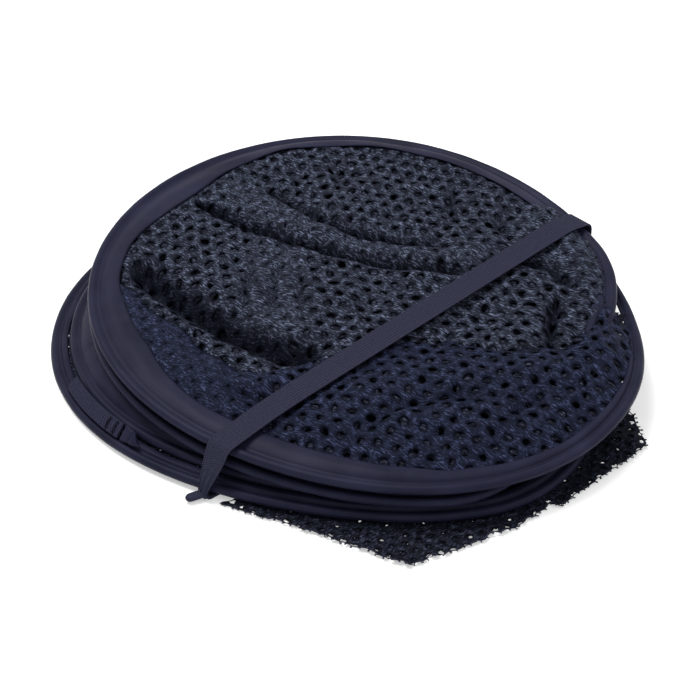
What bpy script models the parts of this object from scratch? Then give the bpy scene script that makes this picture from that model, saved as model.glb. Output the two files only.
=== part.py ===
# A pop-up mesh hamper twisted flat: two loops of spring-steel wire in sewn binding, each coiled three
# times, with the mesh crumpled inside them, a loose mesh panel under them and an elastic band round it all.
# Metres, +Z up. The part rests on z = 0 and its front is toward -Y.

import math

import bmesh
import bpy
from mathutils import Matrix, Vector
from mathutils.geometry import tessellate_polygon

# ---- wire and binding ----
WIRE_THICKNESS = 0.0008
WIRE_HEIGHT = 0.0022
PIPE_RADIUS = 0.0021          # outside of the piped edge that holds the wire
PIPE_BORE = 0.00165           # inside of it
FLANGE_THICKNESS = 0.0010     # two plies of binding, with the edge of the mesh between them
CLEARANCE = 0.0003
STEPS = 36                    # stations in one turn of a coil
TOP_FLANGE = 0.0115           # width of the flange inside the piped edge, on the upper loop's outer turn
UPPER_FLANGES = (0.0085, 0.0080)          # on its other turns
LOWER_FLANGES = (0.0066, 0.0070, 0.0075)  # on the lower loop's turns
TOP_RISE = 0.0034             # the top flange's edge stands no higher than this above its wire
TOP_SPREADS = (0.0085, 0.0055, 0.0020)    # it is this much wider at the back left, the left and the front
TOP_SPREAD_AT = ((140.0, 19.0), (199.0, 19.0), (245.0, 24.0))  # where, by angle, and how far that reaches
TOP_PINCH = 0.0045            # and this much narrower at the front right
TOP_PINCH_FROM, TOP_PINCH_TO = (262.0, 320.0), (372.0, 380.0)  # where that begins and ends
SIDE_SPREAD = 0.0060          # the lower loop's middle flange is this much wider at the left
SIDE_TILT = 26.0              # and this much steeper
SIDE_SPREAD_AT = (195.0, 38.0)

# ---- the two coils ----
STACK_PITCH = 0.0068          # from one turn to the next where they lie on each other, at the front
INNER_TURN = 0.020            # how far inside its loop's outer turn the innermost turn lies
MIDDLE_TURN = 0.009           # the same for the middle turn of the lower loop
UPPER_CENTRE = Vector((0.0077, 0.0244))
UPPER_AXES = (0.1282, 0.1124)
UPPER_YAW = -39.0
UPPER_LOBES = (-0.019, 15.0)  # third-order waviness of the outline: its share of the radius, and its heading
LOWER_CENTRE = Vector((-0.0079, 0.0234))
LOWER_AXES = (0.1351, 0.1110)
LOWER_YAW = -36.5
LOWER_LOBES = (-0.033, 25.0)
COIL_REACH = 0.0090           # from the short half axis to the level where the upper turns meet, at the front
BACK_RISE = 0.092             # how steeply the upper loop's outer turn climbs toward the back
MIDDLE_RISE = 0.083           # the same for its middle turn
INNER_RISE = 0.042            # and for its innermost one
SIDE_FALL = -0.008            # how steeply they fall toward the right
LOWER_FALL = -0.018           # the same for the lower loop's middle turn
INNER_LIFT = 0.0025           # the upper loop's innermost turn lies this much above the front level
LOWER_LIFTS = (0.0, 0.0024, 0.0009)  # how far the lower loop's turns lie above what they rest on
CROSSING_HOP = 0.0060         # the lower innermost turn passes this high over the strand that comes in
HOP_FROM, HOP_TO = (222.0, 256.0), (352.0, 380.0)  # where it rises and comes down again, by angle

# ---- sewn and crimped joints of the loops ----
SLEEVE_BREAK = 0.020          # the binding's ends stay this far apart over the ferrule
LAP_COVER = 0.005             # how far the lap reaches over each end of the binding
LAP_THICKNESS = 0.0005
LAP_SHORT = 0.0015            # the lap stops this far short of the flange's edge
FERRULE_LENGTH = 0.014
FERRULE_WALL = 0.0003
WIRE_END_GAP = 0.0006

# ---- mesh ----
MESH_PLY = 0.0010
FRONT_PLY = 0.0024            # thickness of the crumpled front panel
FRONT_HUMP = 0.0050           # its rise above its own rim
FOLD_RISE = 0.0032            # height of its fold above the level of the top turn
FRONT_FROM, FRONT_TO = 180.0, 340.0       # where it is sewn to the top flange, by angle
FRONT_EASE = (160.0, 372.0)               # the upper mesh gives way to it from here, to here
FOLD_LINE = (                             # where it is folded under: angle, and reach from the centre
    (180.0, 0.102), (200.0, 0.083), (222.0, 0.076), (249.0, 0.047), (270.0, 0.036),
    (300.0, 0.037), (318.0, 0.048), (331.0, 0.078), (340.0, 0.096),
)
FRONT_RINGS = (0.0, 0.18, 0.38, 0.60, 0.82, 1.0)                        # from its rim to its fold
UPPER_RINGS = (0.90, 0.80, 0.70, 0.60, 0.50, 0.39, 0.28, 0.15)          # the upper mesh's, inside that fold
LOWER_RINGS = (1.0, 0.94, 0.80, 0.60, 0.40, 0.20)                       # the lower mesh's, from its rim
FOLD_STEP = 0.0055            # in this distance before the fold the upper mesh dips under it
FOLD_COVER = 0.0060           # the front panel's fold reaches at least this far inside the flange's edge
SETTLED = 0.0012              # the upper mesh lies this much lower than its rim
BUNDLE_GAP = 0.0006           # between the mesh of the two coils
BUNDLE_SIDE = 0.0030          # how far inside the innermost turn the full bundle begins
CREASE_REACH = 0.0065         # how far from its line a crease draws the upper mesh down
CREASES = (                   # their depths, and the lines that they follow, in plan
    (0.0055, ((-0.084, 0.100), (-0.046, 0.074), (0.000, 0.052), (0.062, 0.040))),
    (0.0045, ((-0.046, 0.110), (0.001, 0.070), (0.052, 0.060))),
    (0.0075, ((-0.099, 0.046), (-0.071, 0.012), (-0.030, -0.018))),
    (0.0050, ((0.094, 0.027), (0.088, -0.015), (0.086, -0.030))),
    (0.0040, ((0.058, 0.048), (0.079, 0.051), (0.106, 0.030))),
)

# ---- elastic band ----
BAND_WIDTH = 0.0125
BAND_THICKNESS = 0.0010
BAND_POINT = Vector((0.0229, -0.0007))
BAND_HEADING = 43.0           # direction of its run across the top
BAND_LAP = 0.016              # the band's ends are sewn over each other for this length
BAND_LAP_THICKNESS = 0.0008
BAND_LAP_SHORT = 0.0005       # the lap is narrower than the band by this on each side

# ---- loose panel ----
PANEL_THICKNESS = 0.0008
PANEL_MARGIN = 0.0015         # from the lower coil to the line where a free corner starts to lift
FRONT_CORNER = Vector((0.025, -0.1215))
FRONT_SPAN = (0.045, 0.044)   # the front corner's line, to the left and right of its tip
RIGHT_CORNER = Vector((0.1285, -0.0465))
RIGHT_SPAN = (0.054, 0.016)   # the right corner's line, to the front and back of its tip
RIGHT_START = 0.0040          # the right corner stands out this far where its edge begins
PANEL_LEFT = 0.1115           # the panel's straight edge beside the band: how far it goes to the left
PANEL_HIDDEN = 0.085          # and how far to the right, under the coil
PANEL_GAP = 0.0020            # between that edge and the band
PANEL_TUCK = Vector((0.026, -0.022))  # from the hidden end to the next corner
PANEL_BACK = Vector((-0.004, 0.020))  # from the end of the right corner's line to the corner after it
FRAY = 0.0010                 # waviness of the cut edges
RIGHT_FACING = -35.0          # the way the right corner's edge of the coil faces

# ---- handle ----
HANDLE_WIDTH = 0.0070
HANDLE_THICKNESS = 0.0014
HANDLE_FROM = 196.0           # where the webbing runs along the coil, by angle
HANDLE_TO = 217.0
HANDLE_SLOPE = 48.0           # tilt of its width above level
HANDLE_INSET = 0.0008         # its outer edge lies this far inside the wire
TACK_THICKNESS = 0.0006
TACK_MARGIN = 0.0015          # the tacks are narrower than the webbing by this


def smooth(value):
    value = min(max(value, 0.0), 1.0)
    return value * value * (3.0 - 2.0 * value)


def window(angle, start, end):
    return smooth((angle - start) / (end - start))


def direction(degrees):
    return Vector((math.cos(math.radians(degrees)), math.sin(math.radians(degrees))))


bandAlong = direction(BAND_HEADING)
bandAcross = direction(BAND_HEADING - 90.0)


# ---------------------------------------------------------------- the path of each loop
# A turn runs from angle SEAM to SEAM + 360, counted from +X toward +Y. Near its end it shifts
# sideways into the next turn and climbs or sinks to the next turn's level, each in its own window.
SEAM = 20.0


def rest_height(point):
    """Height of the lower coil's underside: on the band and the loose panel, tipping to the floor behind."""
    ride = max(BAND_THICKNESS, PANEL_THICKNESS) + CLEARANCE
    reach = UPPER_AXES[1]
    across = (point - BAND_POINT).dot(bandAcross) + BAND_WIDTH
    return ride * smooth(1.0 + across / reach)


def turn(inset, level, rise, fall, flange, tilt, shift, climb):
    return dict(inset=inset, level=level, rise=rise, fall=fall,
                flange=flange, tilt=tilt, shift=shift, climb=climb)


frontLevel = 2.0 * PIPE_RADIUS + STACK_PITCH
frontReach = UPPER_AXES[1] + COIL_REACH
upperLoop = dict(
    name="upper", centre=UPPER_CENTRE, axes=UPPER_AXES, yaw=UPPER_YAW, lobes=UPPER_LOBES,
    hop=0.0, rests=False,
    turns=[
        turn(0.0, frontLevel + STACK_PITCH + BACK_RISE * frontReach, BACK_RISE, SIDE_FALL,
             TOP_FLANGE, 17.0, (320, 360), (320, 360)),
        turn(0.0, frontLevel + MIDDLE_RISE * frontReach, MIDDLE_RISE, SIDE_FALL,
             UPPER_FLANGES[0], 12.0, (285, 325), (285, 325)),
        turn(INNER_TURN, frontLevel + INNER_LIFT + INNER_RISE * frontReach, INNER_RISE, 0.0,
             UPPER_FLANGES[1], 8.0, (335, 380), (245, 290)),
    ])
lowerLoop = dict(
    name="lower", centre=LOWER_CENTRE, axes=LOWER_AXES, yaw=LOWER_YAW, lobes=LOWER_LOBES,
    hop=CROSSING_HOP, rests=True,
    turns=[
        turn(0.0, PIPE_RADIUS + LOWER_LIFTS[0], 0.0, 0.0,
             LOWER_FLANGES[0], 22.0, (300, 335), (300, 335)),
        turn(MIDDLE_TURN, PIPE_RADIUS + LOWER_LIFTS[1], 0.0, LOWER_FALL,
             LOWER_FLANGES[1], 12.0, (260, 298), (260, 298)),
        turn(INNER_TURN, PIPE_RADIUS + LOWER_LIFTS[2], 0.0, 0.0,
             LOWER_FLANGES[2], 4.0, (325, 352), (325, 352)),
    ])


def plan_point(loop, inset, angle):
    """Point of one turn's outline: a wavy ellipse, turned by the loop's yaw and drawn in by inset."""
    long, short = loop["axes"][0] - inset, loop["axes"][1] - inset
    local = math.radians(angle - loop["yaw"])
    reach = long * short / math.hypot(short * math.cos(local), long * math.sin(local))
    waviness, crest = loop["lobes"]
    reach *= 1.0 + waviness * math.cos(3.0 * math.radians(angle - crest))
    return loop["centre"] + direction(angle) * reach


def level_at(loop, part, point):
    offset = point - loop["centre"]
    return part["level"] + part["rise"] * offset.y + part["fall"] * offset.x


def swell_at(angle, place):
    crest, reach = place
    return math.exp(-((angle - crest) / reach) ** 2)


def flange_bulge(loop, count, angle):
    """Extra width and tilt of a flange."""
    if loop["rests"]:
        swell = swell_at(angle, SIDE_SPREAD_AT) if count == 1 else 0.0
        return SIDE_SPREAD * swell, SIDE_TILT * swell
    if count != 0:
        return 0.0, 0.0
    wider = sum(extra * swell_at(angle, place) for extra, place in zip(TOP_SPREADS, TOP_SPREAD_AT))
    return wider - TOP_PINCH * window(angle, *TOP_PINCH_FROM) * (1.0 - window(angle, *TOP_PINCH_TO)), 0.0


def path_at(loop, position):
    """Centre of the wire, and the flange's width and tilt, at a position counted in turns."""
    position %= 3.0
    count = int(position)
    here, after = loop["turns"][count], loop["turns"][(count + 1) % 3]
    angle = SEAM + 360.0 * (position - count)
    shift, climb = window(angle, *here["shift"]), window(angle, *here["climb"])
    spot = plan_point(loop, here["inset"], angle).lerp(plan_point(loop, after["inset"], angle), shift)
    height = level_at(loop, here, spot) * (1.0 - climb) + level_at(loop, after, spot) * climb
    if loop["rests"]:
        height += rest_height(spot)
    if count == 2:
        height += loop["hop"] * window(angle, *HOP_FROM) * (1.0 - window(angle, *HOP_TO))
    wider, steeper = flange_bulge(loop, count, angle)
    flange = here["flange"] * (1.0 - shift) + after["flange"] * shift + wider
    tilt = here["tilt"] * (1.0 - shift) + after["tilt"] * shift + steeper
    if not loop["rests"]:
        tilt = min(tilt, math.degrees(math.asin(TOP_RISE / max(flange, TOP_RISE))))
    return Vector((spot.x, spot.y, height)), flange, tilt


def frame_at(loop, position):
    """Centre, direction of the flange, its normal, its width, at a position on the loop."""
    step = 0.25 / STEPS
    centre, flange, tilt = path_at(loop, position)
    tangent = (path_at(loop, position + step)[0] - path_at(loop, position - step)[0]).normalized()
    inward = Vector((0.0, 0.0, 1.0)).cross(tangent).normalized()
    raised = tangent.cross(inward)
    lean = math.radians(tilt)
    toward = inward * math.cos(lean) + raised * math.sin(lean)
    return centre, toward, raised * math.cos(lean) - inward * math.sin(lean), flange


def turns_for(loop, position, length):
    """How many turns a length along the wire takes up, near a position."""
    step = 0.25 / STEPS
    run = (path_at(loop, position + step)[0] - path_at(loop, position - step)[0]).length
    return length * 2.0 * step / run


# ---------------------------------------------------------------- building helpers
parts = bpy.data.collections.new("folded_mesh_hamper")


def material(name, colour, roughness, metallic=0.0):
    made = bpy.data.materials.get(name) or bpy.data.materials.new(name)
    made.use_nodes = True
    shader = made.node_tree.nodes["Principled BSDF"]
    shader.inputs["Base Color"].default_value = (*colour, 1.0)
    shader.inputs["Roughness"].default_value = roughness
    shader.inputs["Metallic"].default_value = metallic
    return made


def add_part(name, shape, finish, origin=None):
    """One named node from a bmesh. A moving piece gets its origin on its joint's axis."""
    bmesh.ops.recalc_face_normals(shape, faces=shape.faces)
    place = Vector(origin) if origin is not None else Vector((0.0, 0.0, 0.0))
    bmesh.ops.translate(shape, verts=shape.verts, vec=-place)
    mesh = bpy.data.meshes.new(name)
    shape.to_mesh(mesh)
    shape.free()
    mesh.materials.append(finish)
    mesh.shade_smooth()
    mesh.set_sharp_from_angle(angle=math.radians(40.0))
    piece = bpy.data.objects.new(name, mesh)
    piece.location = place
    parts.objects.link(piece)
    return piece


def skin(shape, rings, closed):
    """Quads between neighbouring rings of vertices, and from the last ring to the first when closed."""
    count = len(rings[0])
    pairs = list(zip(rings, rings[1:])) + ([(rings[-1], rings[0])] if closed else [])
    for first, second in pairs:
        for i in range(count):
            j = (i + 1) % count
            shape.faces.new((first[i], first[j], second[j], second[i]))


def cap(shape, outer, inner=()):
    """Flat end between an outer ring and, where there is one, the ring of a hole."""
    loops = [[vert.co for vert in outer]] + ([[vert.co for vert in inner]] if inner else [])
    verts = list(outer) + list(inner)
    for corners in tessellate_polygon(loops):
        shape.faces.new([verts[i] for i in corners])


def loft(outer, inner=None, closed=False):
    """Solid along a row of sections. An inner row makes it a tube."""
    shape = bmesh.new()
    outerRings = [[shape.verts.new(point) for point in ring] for ring in outer]
    innerRings = [[shape.verts.new(point) for point in ring] for ring in inner] if inner else []
    skin(shape, outerRings, closed)
    if innerRings:
        skin(shape, innerRings, closed)
    if not closed:
        for end in (0, -1):
            cap(shape, outerRings[end], innerRings[end] if innerRings else ())
    return shape


def placed(frame, profile):
    """Points of a flat profile, given as (toward the flange, up), set in a frame of the path."""
    centre, toward, normal, _ = frame
    return [centre + toward * across + normal * up for across, up in profile]


def round_points(radius, degrees):
    return [(radius * math.cos(math.radians(a)), radius * math.sin(math.radians(a))) for a in degrees]


# ---------------------------------------------------------------- wire, ferrule, binding
def sleeve_profile(flange):
    half = FLANGE_THICKNESS / 2.0
    neck = math.sqrt(PIPE_RADIUS ** 2 - half ** 2)
    around = round_points(PIPE_RADIUS, (60, 120, 180, 240, 300))
    return [(flange, -half), (flange, half), (neck, half)] + around + [(neck, -half)]


def lap_profile(flange, grow):
    """Outline around the sleeve at a distance, which stops short of its flange's edge."""
    half = FLANGE_THICKNESS / 2.0 + grow
    radius = PIPE_RADIUS + grow
    neck = math.sqrt(radius ** 2 - half ** 2)
    edge = flange - LAP_SHORT
    around = round_points(radius, (55, 90, 125, 160, 200, 235, 270, 305))
    return [(edge, half), (neck, half)] + around + [(neck, -half), (edge, -half)]


# The wire's ends meet in the innermost turn, at the back.
JOINT = 2.0 + (92.0 - SEAM) / 360.0


def joint_marks(loop):
    """Half lengths, in turns, of the wire's gap, the ferrule, the binding's opening and the lap over it."""
    return [turns_for(loop, JOINT, half) for half in (
        WIRE_END_GAP / 2.0, FERRULE_LENGTH / 2.0, SLEEVE_BREAK / 2.0, SLEEVE_BREAK / 2.0 + LAP_COVER)]


def stations(loop, start, end):
    """Frames from start to end. All pieces on a loop share them, so that their facets run side by side."""
    marks = joint_marks(loop)
    shared = [JOINT + side * mark + lap for mark in marks for side in (-1, 1) for lap in (0.0, 3.0)]
    grid = [i / STEPS for i in range(int(2 * STEPS), int(6 * STEPS))]
    open_grid = [p for p in grid if min(abs(p - mark) for mark in shared) > 0.3 / STEPS]
    return [frame_at(loop, p) for p in sorted(open_grid + shared) if start - 1e-9 <= p <= end + 1e-9]


def build_loop(loop, steel, plated, satin):
    gap, ferrule, opening, lap = joint_marks(loop)
    half = [(-WIRE_THICKNESS / 2, -WIRE_HEIGHT / 2), (WIRE_THICKNESS / 2, -WIRE_HEIGHT / 2),
            (WIRE_THICKNESS / 2, WIRE_HEIGHT / 2), (-WIRE_THICKNESS / 2, WIRE_HEIGHT / 2)]
    run = stations(loop, JOINT + gap, JOINT + 3.0 - gap)
    add_part(loop["name"] + "_spring_wire", loft([placed(f, half) for f in run]), steel)

    inner = [(x + math.copysign(CLEARANCE, x), y + math.copysign(CLEARANCE, y)) for x, y in half]
    outer = [(x + math.copysign(FERRULE_WALL, x), y + math.copysign(FERRULE_WALL, y)) for x, y in inner]
    run = stations(loop, JOINT - ferrule, JOINT + ferrule)
    crimped = loft([placed(f, outer) for f in run], [placed(f, inner) for f in run])
    add_part(loop["name"] + "_wire_ferrule", crimped, plated)

    run = stations(loop, JOINT + opening, JOINT + 3.0 - opening)
    bore = round_points(PIPE_BORE, range(0, 360, 60))
    add_part(loop["name"] + "_binding_sleeve",
             loft([placed(f, sleeve_profile(f[3])) for f in run], [placed(f, bore) for f in run]), satin)

    run = stations(loop, JOINT - lap, JOINT + lap)
    far, near = CLEARANCE + LAP_THICKNESS, CLEARANCE
    sections = [placed(f, lap_profile(f[3], far) + lap_profile(f[3], near)[::-1]) for f in run]
    add_part(loop["name"] + "_sleeve_lap", loft(sections), satin)


# ---------------------------------------------------------------- mesh panels
def flange_edge(loop, position):
    """Point just inside the flange's edge, where the mesh begins."""
    centre, toward, _, flange = frame_at(loop, position)
    return centre + toward * (flange + 1.5 * CLEARANCE)


def inner_edge(loop, step):
    """The mesh begins inside whichever of the two inner turns lies further in."""
    edges = [flange_edge(loop, count + step / STEPS) for count in (1, 2)]
    return min(edges, key=lambda edge: (edge.xy - loop["centre"]).length)


def top_plane(x, y):
    return level_at(upperLoop, upperLoop["turns"][0], Vector((x, y)))


def parting(x, y):
    """Level between the two coils, inside their innermost turns."""
    return 0.5 * (top_plane(x, y) - STACK_PITCH * 0.6)


def lower_top(spot):
    """Top of the lower coil's turns where a spot lies over them, or 0 inside them."""
    offset = spot - lowerLoop["centre"]
    angle = math.degrees(math.atan2(offset.y, offset.x)) % 360.0
    step = int(((angle - SEAM) % 360.0) * STEPS / 360.0)
    if offset.length < (inner_edge(lowerLoop, step).xy - lowerLoop["centre"]).length - MESH_PLY:
        return 0.0
    reach = PIPE_RADIUS + max(LOWER_FLANGES) + SIDE_SPREAD
    places = [count + (step + side) / STEPS for count in range(3) for side in (-1, 0, 1, 2)]
    return max(path_at(lowerLoop, place)[0].z for place in places) + 0.6 * reach


def front_share(angle):
    """1 where the front panel lies over the upper one, 0 at the back."""
    return window(angle, FRONT_EASE[0], FRONT_FROM) * (1.0 - window(angle, FRONT_TO, FRONT_EASE[1]))


def front_reach(angle):
    """How far from the coil's centre the front panel's fold lies."""
    angle = min(max(angle, FRONT_FROM), FRONT_TO)
    for (start, first), (end, last) in zip(FOLD_LINE, FOLD_LINE[1:]):
        if start <= angle <= end:
            reach = first + (last - first) * window(angle, start, end)
    return reach


def crease_depth(spot):
    """How deep the creases of the upper mesh lie at a spot."""
    depth = 0.0
    for deepest, line in CREASES:
        for start, end in zip(line, line[1:]):
            start, run = Vector(start), Vector(end) - Vector(start)
            share = min(max((spot - start).dot(run) / run.length_squared, 0.0), 1.0)
            away = (spot - start - run * share).length
            depth = max(depth, deepest * math.exp(-(away / CREASE_REACH) ** 2))
    return depth


def pressed(spot):
    """1 away from the band, near 0 under it, where it holds the mesh down."""
    return 1.0 - 0.9 * math.exp(-((spot - BAND_POINT).dot(bandAcross) / (1.3 * BAND_WIDTH)) ** 2)


def at_half_step(edge, i):
    """A point of a whole station, or the middle of two of them, so that facets stay side by side."""
    return edge(i // 2) if i % 2 == 0 else edge(i // 2).lerp(edge(i // 2 + 1), 0.5)


def upper_mesh(finish):
    """Thin over the innermost turn, filling the coil inside it, and lower under the front panel's fold."""
    count = 7 + len(UPPER_RINGS)
    tops, bottoms = [[] for _ in range(count)], [[] for _ in range(count)]
    shape = bmesh.new()
    centre = upperLoop["centre"]
    for i in range(2 * STEPS):
        angle = SEAM + 180.0 * i / STEPS
        outer = at_half_step(lambda step: flange_edge(upperLoop, step / STEPS), i)
        inner = at_half_step(lambda step: flange_edge(upperLoop, 2.0 + step / STEPS), i)
        innermost = at_half_step(lambda step: inner_edge(upperLoop, step), i)
        rim = outer.lerp(inner, window(angle, FRONT_TO - 20.0, FRONT_TO))
        heading = (rim.xy - centre).normalized()
        share = front_share(angle)
        front = front_reach(angle)
        reach = (outer.xy - centre).length
        under = max((inner.xy - centre).length, min(front, reach - FOLD_COVER) + FOLD_COVER / 2.0)
        reach += (under - reach) * window(angle, FRONT_FROM - 2.0, FRONT_FROM + 12.0)
        keel = min((innermost.xy - centre).length - MESH_PLY, reach - BUNDLE_SIDE)
        fold = min(front * share + UPPER_RINGS[0] * keel * (1.0 - share), keel - 2.7 * BUNDLE_SIDE)
        heart = fold - FOLD_STEP
        radii = [reach, reach - 0.4 * (reach - keel), keel, keel - BUNDLE_SIDE, 0.5 * (fold + keel),
                 fold - MESH_PLY, heart] + [heart * part for part in UPPER_RINGS]
        edge = rim.z - top_plane(rim.x, rim.y)
        for ring, radius in enumerate(radii):
            spot = centre + heading * radius
            base = top_plane(spot.x, spot.y)
            covered = share if ring < 6 else 0.0
            drop = (SETTLED + crease_depth(spot)) * window(keel - radius, 0.0, 1.5 * BUNDLE_SIDE)
            high = base + (edge + MESH_PLY / 2.0 - drop) * (1.0 - covered)
            if ring == 0 and angle < FRONT_EASE[0]:
                low = min(base + edge, high) - MESH_PLY / 2.0
            elif ring < 3:
                low = base - 1.5 * MESH_PLY
            else:
                low = max(parting(spot.x, spot.y), lower_top(spot)) + BUNDLE_GAP / 2.0
            tops[ring].append(shape.verts.new((spot.x, spot.y, high)))
            bottoms[ring].append(shape.verts.new((spot.x, spot.y, min(low, high - MESH_PLY / 2.0))))
    skin(shape, [bottoms[0]] + tops, False)
    skin(shape, bottoms, False)
    shape.faces.new(tops[-1])
    shape.faces.new(bottoms[-1])
    add_part("upper_mesh_panel", shape, finish)


def front_mesh(finish):
    steps = int(round((FRONT_TO - FRONT_FROM) / (360.0 / STEPS)))
    sections = []
    for i in range(steps + 1):
        angle = FRONT_FROM + (FRONT_TO - FRONT_FROM) * i / steps
        rim = flange_edge(upperLoop, (angle - SEAM) / 360.0)
        edge = rim.z - top_plane(rim.x, rim.y)
        top, bottom = [], []
        for share in FRONT_RINGS:
            outward = rim.xy - upperLoop["centre"]
            reach = outward.length + (front_reach(angle) - outward.length) * share
            spot = upperLoop["centre"] + outward.normalized() * reach
            hump = FRONT_HUMP * math.sin(math.pi * share) * pressed(spot)
            rise = edge * (1.0 - share) + FOLD_RISE * share + hump
            base = rim.z - edge if share == 0.0 else top_plane(spot.x, spot.y)
            top.append(Vector((spot.x, spot.y, base + rise + MESH_PLY / 2.0)))
            thick = MESH_PLY if share == 0.0 else FRONT_PLY
            bottom.append(Vector((spot.x, spot.y, base + rise + MESH_PLY / 2.0 - thick)))
        sections.append(top + bottom[::-1])
    add_part("front_mesh_panel", loft(sections), finish)


def lower_mesh(finish):
    shape = bmesh.new()
    tops, bottoms = [], []
    for share in LOWER_RINGS:
        top, bottom = [], []
        for i in range(STEPS):
            rim = inner_edge(lowerLoop, i)
            spot = lowerLoop["centre"] + (Vector((rim.x, rim.y)) - lowerLoop["centre"]) * share
            low = rest_height(spot) + BAND_LAP_THICKNESS + CLEARANCE
            high = parting(spot.x, spot.y) - BUNDLE_GAP / 2.0
            swell = smooth((1.0 - share) / 0.20)
            edge = min(rim.z, high - MESH_PLY)
            edge_low, edge_high = edge - MESH_PLY / 2.0, edge + MESH_PLY / 2.0
            top.append(shape.verts.new((spot.x, spot.y, edge_high * (1.0 - swell) + high * swell)))
            bottom.append(shape.verts.new((spot.x, spot.y, edge_low * (1.0 - swell) + low * swell)))
        tops.append(top)
        bottoms.append(bottom)
    skin(shape, [bottoms[0]] + tops, False)
    skin(shape, bottoms, False)
    shape.faces.new(tops[-1])
    shape.faces.new(bottoms[-1])
    add_part("lower_mesh_panel", shape, finish)


# ---------------------------------------------------------------- loose panel on the floor
def reach_of(loop, heading):
    """How far the loop's sleeve reaches in a level direction."""
    facing = direction(heading)
    spots = [path_at(loop, 3.0 * i / (6 * STEPS))[0].xy for i in range(6 * STEPS)]
    return max(Vector(spot).dot(facing) for spot in spots) + PIPE_RADIUS


def slab(outline, thickness):
    shape = bmesh.new()
    base = shape.faces.new([shape.verts.new((point.x, point.y, 0.0)) for point in outline])
    raised = bmesh.ops.extrude_face_region(shape, geom=[base])
    top = [item for item in raised["geom"] if isinstance(item, bmesh.types.BMVert)]
    bmesh.ops.translate(shape, verts=top, vec=(0.0, 0.0, thickness))
    return shape


def frayed(start, end, count, depth):
    """Points from start to end with a slight wave to the outside, both ends left out."""
    run = end - start
    side = Vector((run.y, -run.x)).normalized()
    return [start.lerp(end, i / (count + 1)) + side * depth * math.sin(2.3 * i + 0.7)
            for i in range(1, count + 1)]


def panel_lines():
    """The two lines where the loose panel's free corners start, each as its ends."""
    front_y = -reach_of(lowerLoop, 270.0) - PANEL_MARGIN
    front_start = Vector((FRONT_CORNER.x - FRONT_SPAN[0], front_y))
    front_end = Vector((FRONT_CORNER.x + FRONT_SPAN[1], front_y))
    facing = direction(RIGHT_FACING)
    foot = facing * (reach_of(lowerLoop, RIGHT_FACING) + PANEL_MARGIN)
    along = Vector((-facing.y, facing.x))
    middle = foot + along * (RIGHT_CORNER - foot).dot(along)
    return (front_start, front_end), (middle - along * RIGHT_SPAN[0], middle + along * RIGHT_SPAN[1])


def loose_panel(finish):
    (front_start, front_end), (right_start, right_end) = panel_lines()
    beside = BAND_POINT + bandAcross * (BAND_WIDTH / 2.0 + PANEL_GAP)
    left, hidden = beside - bandAlong * PANEL_LEFT, beside + bandAlong * PANEL_HIDDEN
    outline = [left, *frayed(left, front_start, 3, FRAY), front_start, front_end,
               *frayed(front_end, right_start, 2, FRAY), right_start, right_end,
               right_end + PANEL_BACK, hidden + PANEL_TUCK, hidden]
    add_part("loose_mesh_panel", slab(outline, PANEL_THICKNESS), finish)

    free = Vector((0.0, -CLEARANCE))
    tip = FRONT_CORNER
    outline = [front_start + free, *frayed(front_start + free, tip, 4, FRAY), tip,
               *frayed(tip, front_end + free, 4, FRAY), front_end + free]
    add_part("loose_panel_front_corner", slab(outline, PANEL_THICKNESS), finish,
             (tip.x, front_start.y - CLEARANCE / 2.0, PANEL_THICKNESS))

    facing = direction(RIGHT_FACING)
    free, tip = facing * CLEARANCE, RIGHT_CORNER
    outline = [right_start + free, *frayed(right_start + free + facing * RIGHT_START, tip, 4, FRAY), tip,
               right_end.lerp(tip, 0.5) + facing * FRAY, right_end + free]
    middle = right_start.lerp(right_end, 0.5) + facing * CLEARANCE / 2.0
    add_part("loose_panel_right_corner", slab(outline, PANEL_THICKNESS), finish,
             (middle.x, middle.y, PANEL_THICKNESS))


# ---------------------------------------------------------------- handle
def handle_frame(angle):
    """Frame above the lower coil's outer turn: centre of the webbing, direction of its width, its normal."""
    centre, toward, _, _ = frame_at(lowerLoop, (angle - SEAM) / 360.0)
    inward = Vector((toward.x, toward.y, 0.0)).normalized()
    slope = math.radians(HANDLE_SLOPE)
    half_rise = (HANDLE_WIDTH * math.sin(slope) + HANDLE_THICKNESS * math.cos(slope)) / 2.0
    lift = PIPE_RADIUS + 0.8 * CLEARANCE + half_rise
    middle = centre + inward * (HANDLE_INSET + HANDLE_WIDTH * math.cos(slope) / 2.0)
    middle += Vector((0.0, 0.0, lift))
    width = inward * math.cos(slope) + Vector((0.0, 0.0, math.sin(slope)))
    normal = Vector((0.0, 0.0, math.cos(slope))) - inward * math.sin(slope)
    return middle, width, normal, 0.0


def rectangle(width, thickness, lift=0.0):
    w, t = width / 2.0, thickness / 2.0
    return [(-w, lift - t), (w, lift - t), (w, lift + t), (-w, lift + t)]


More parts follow.
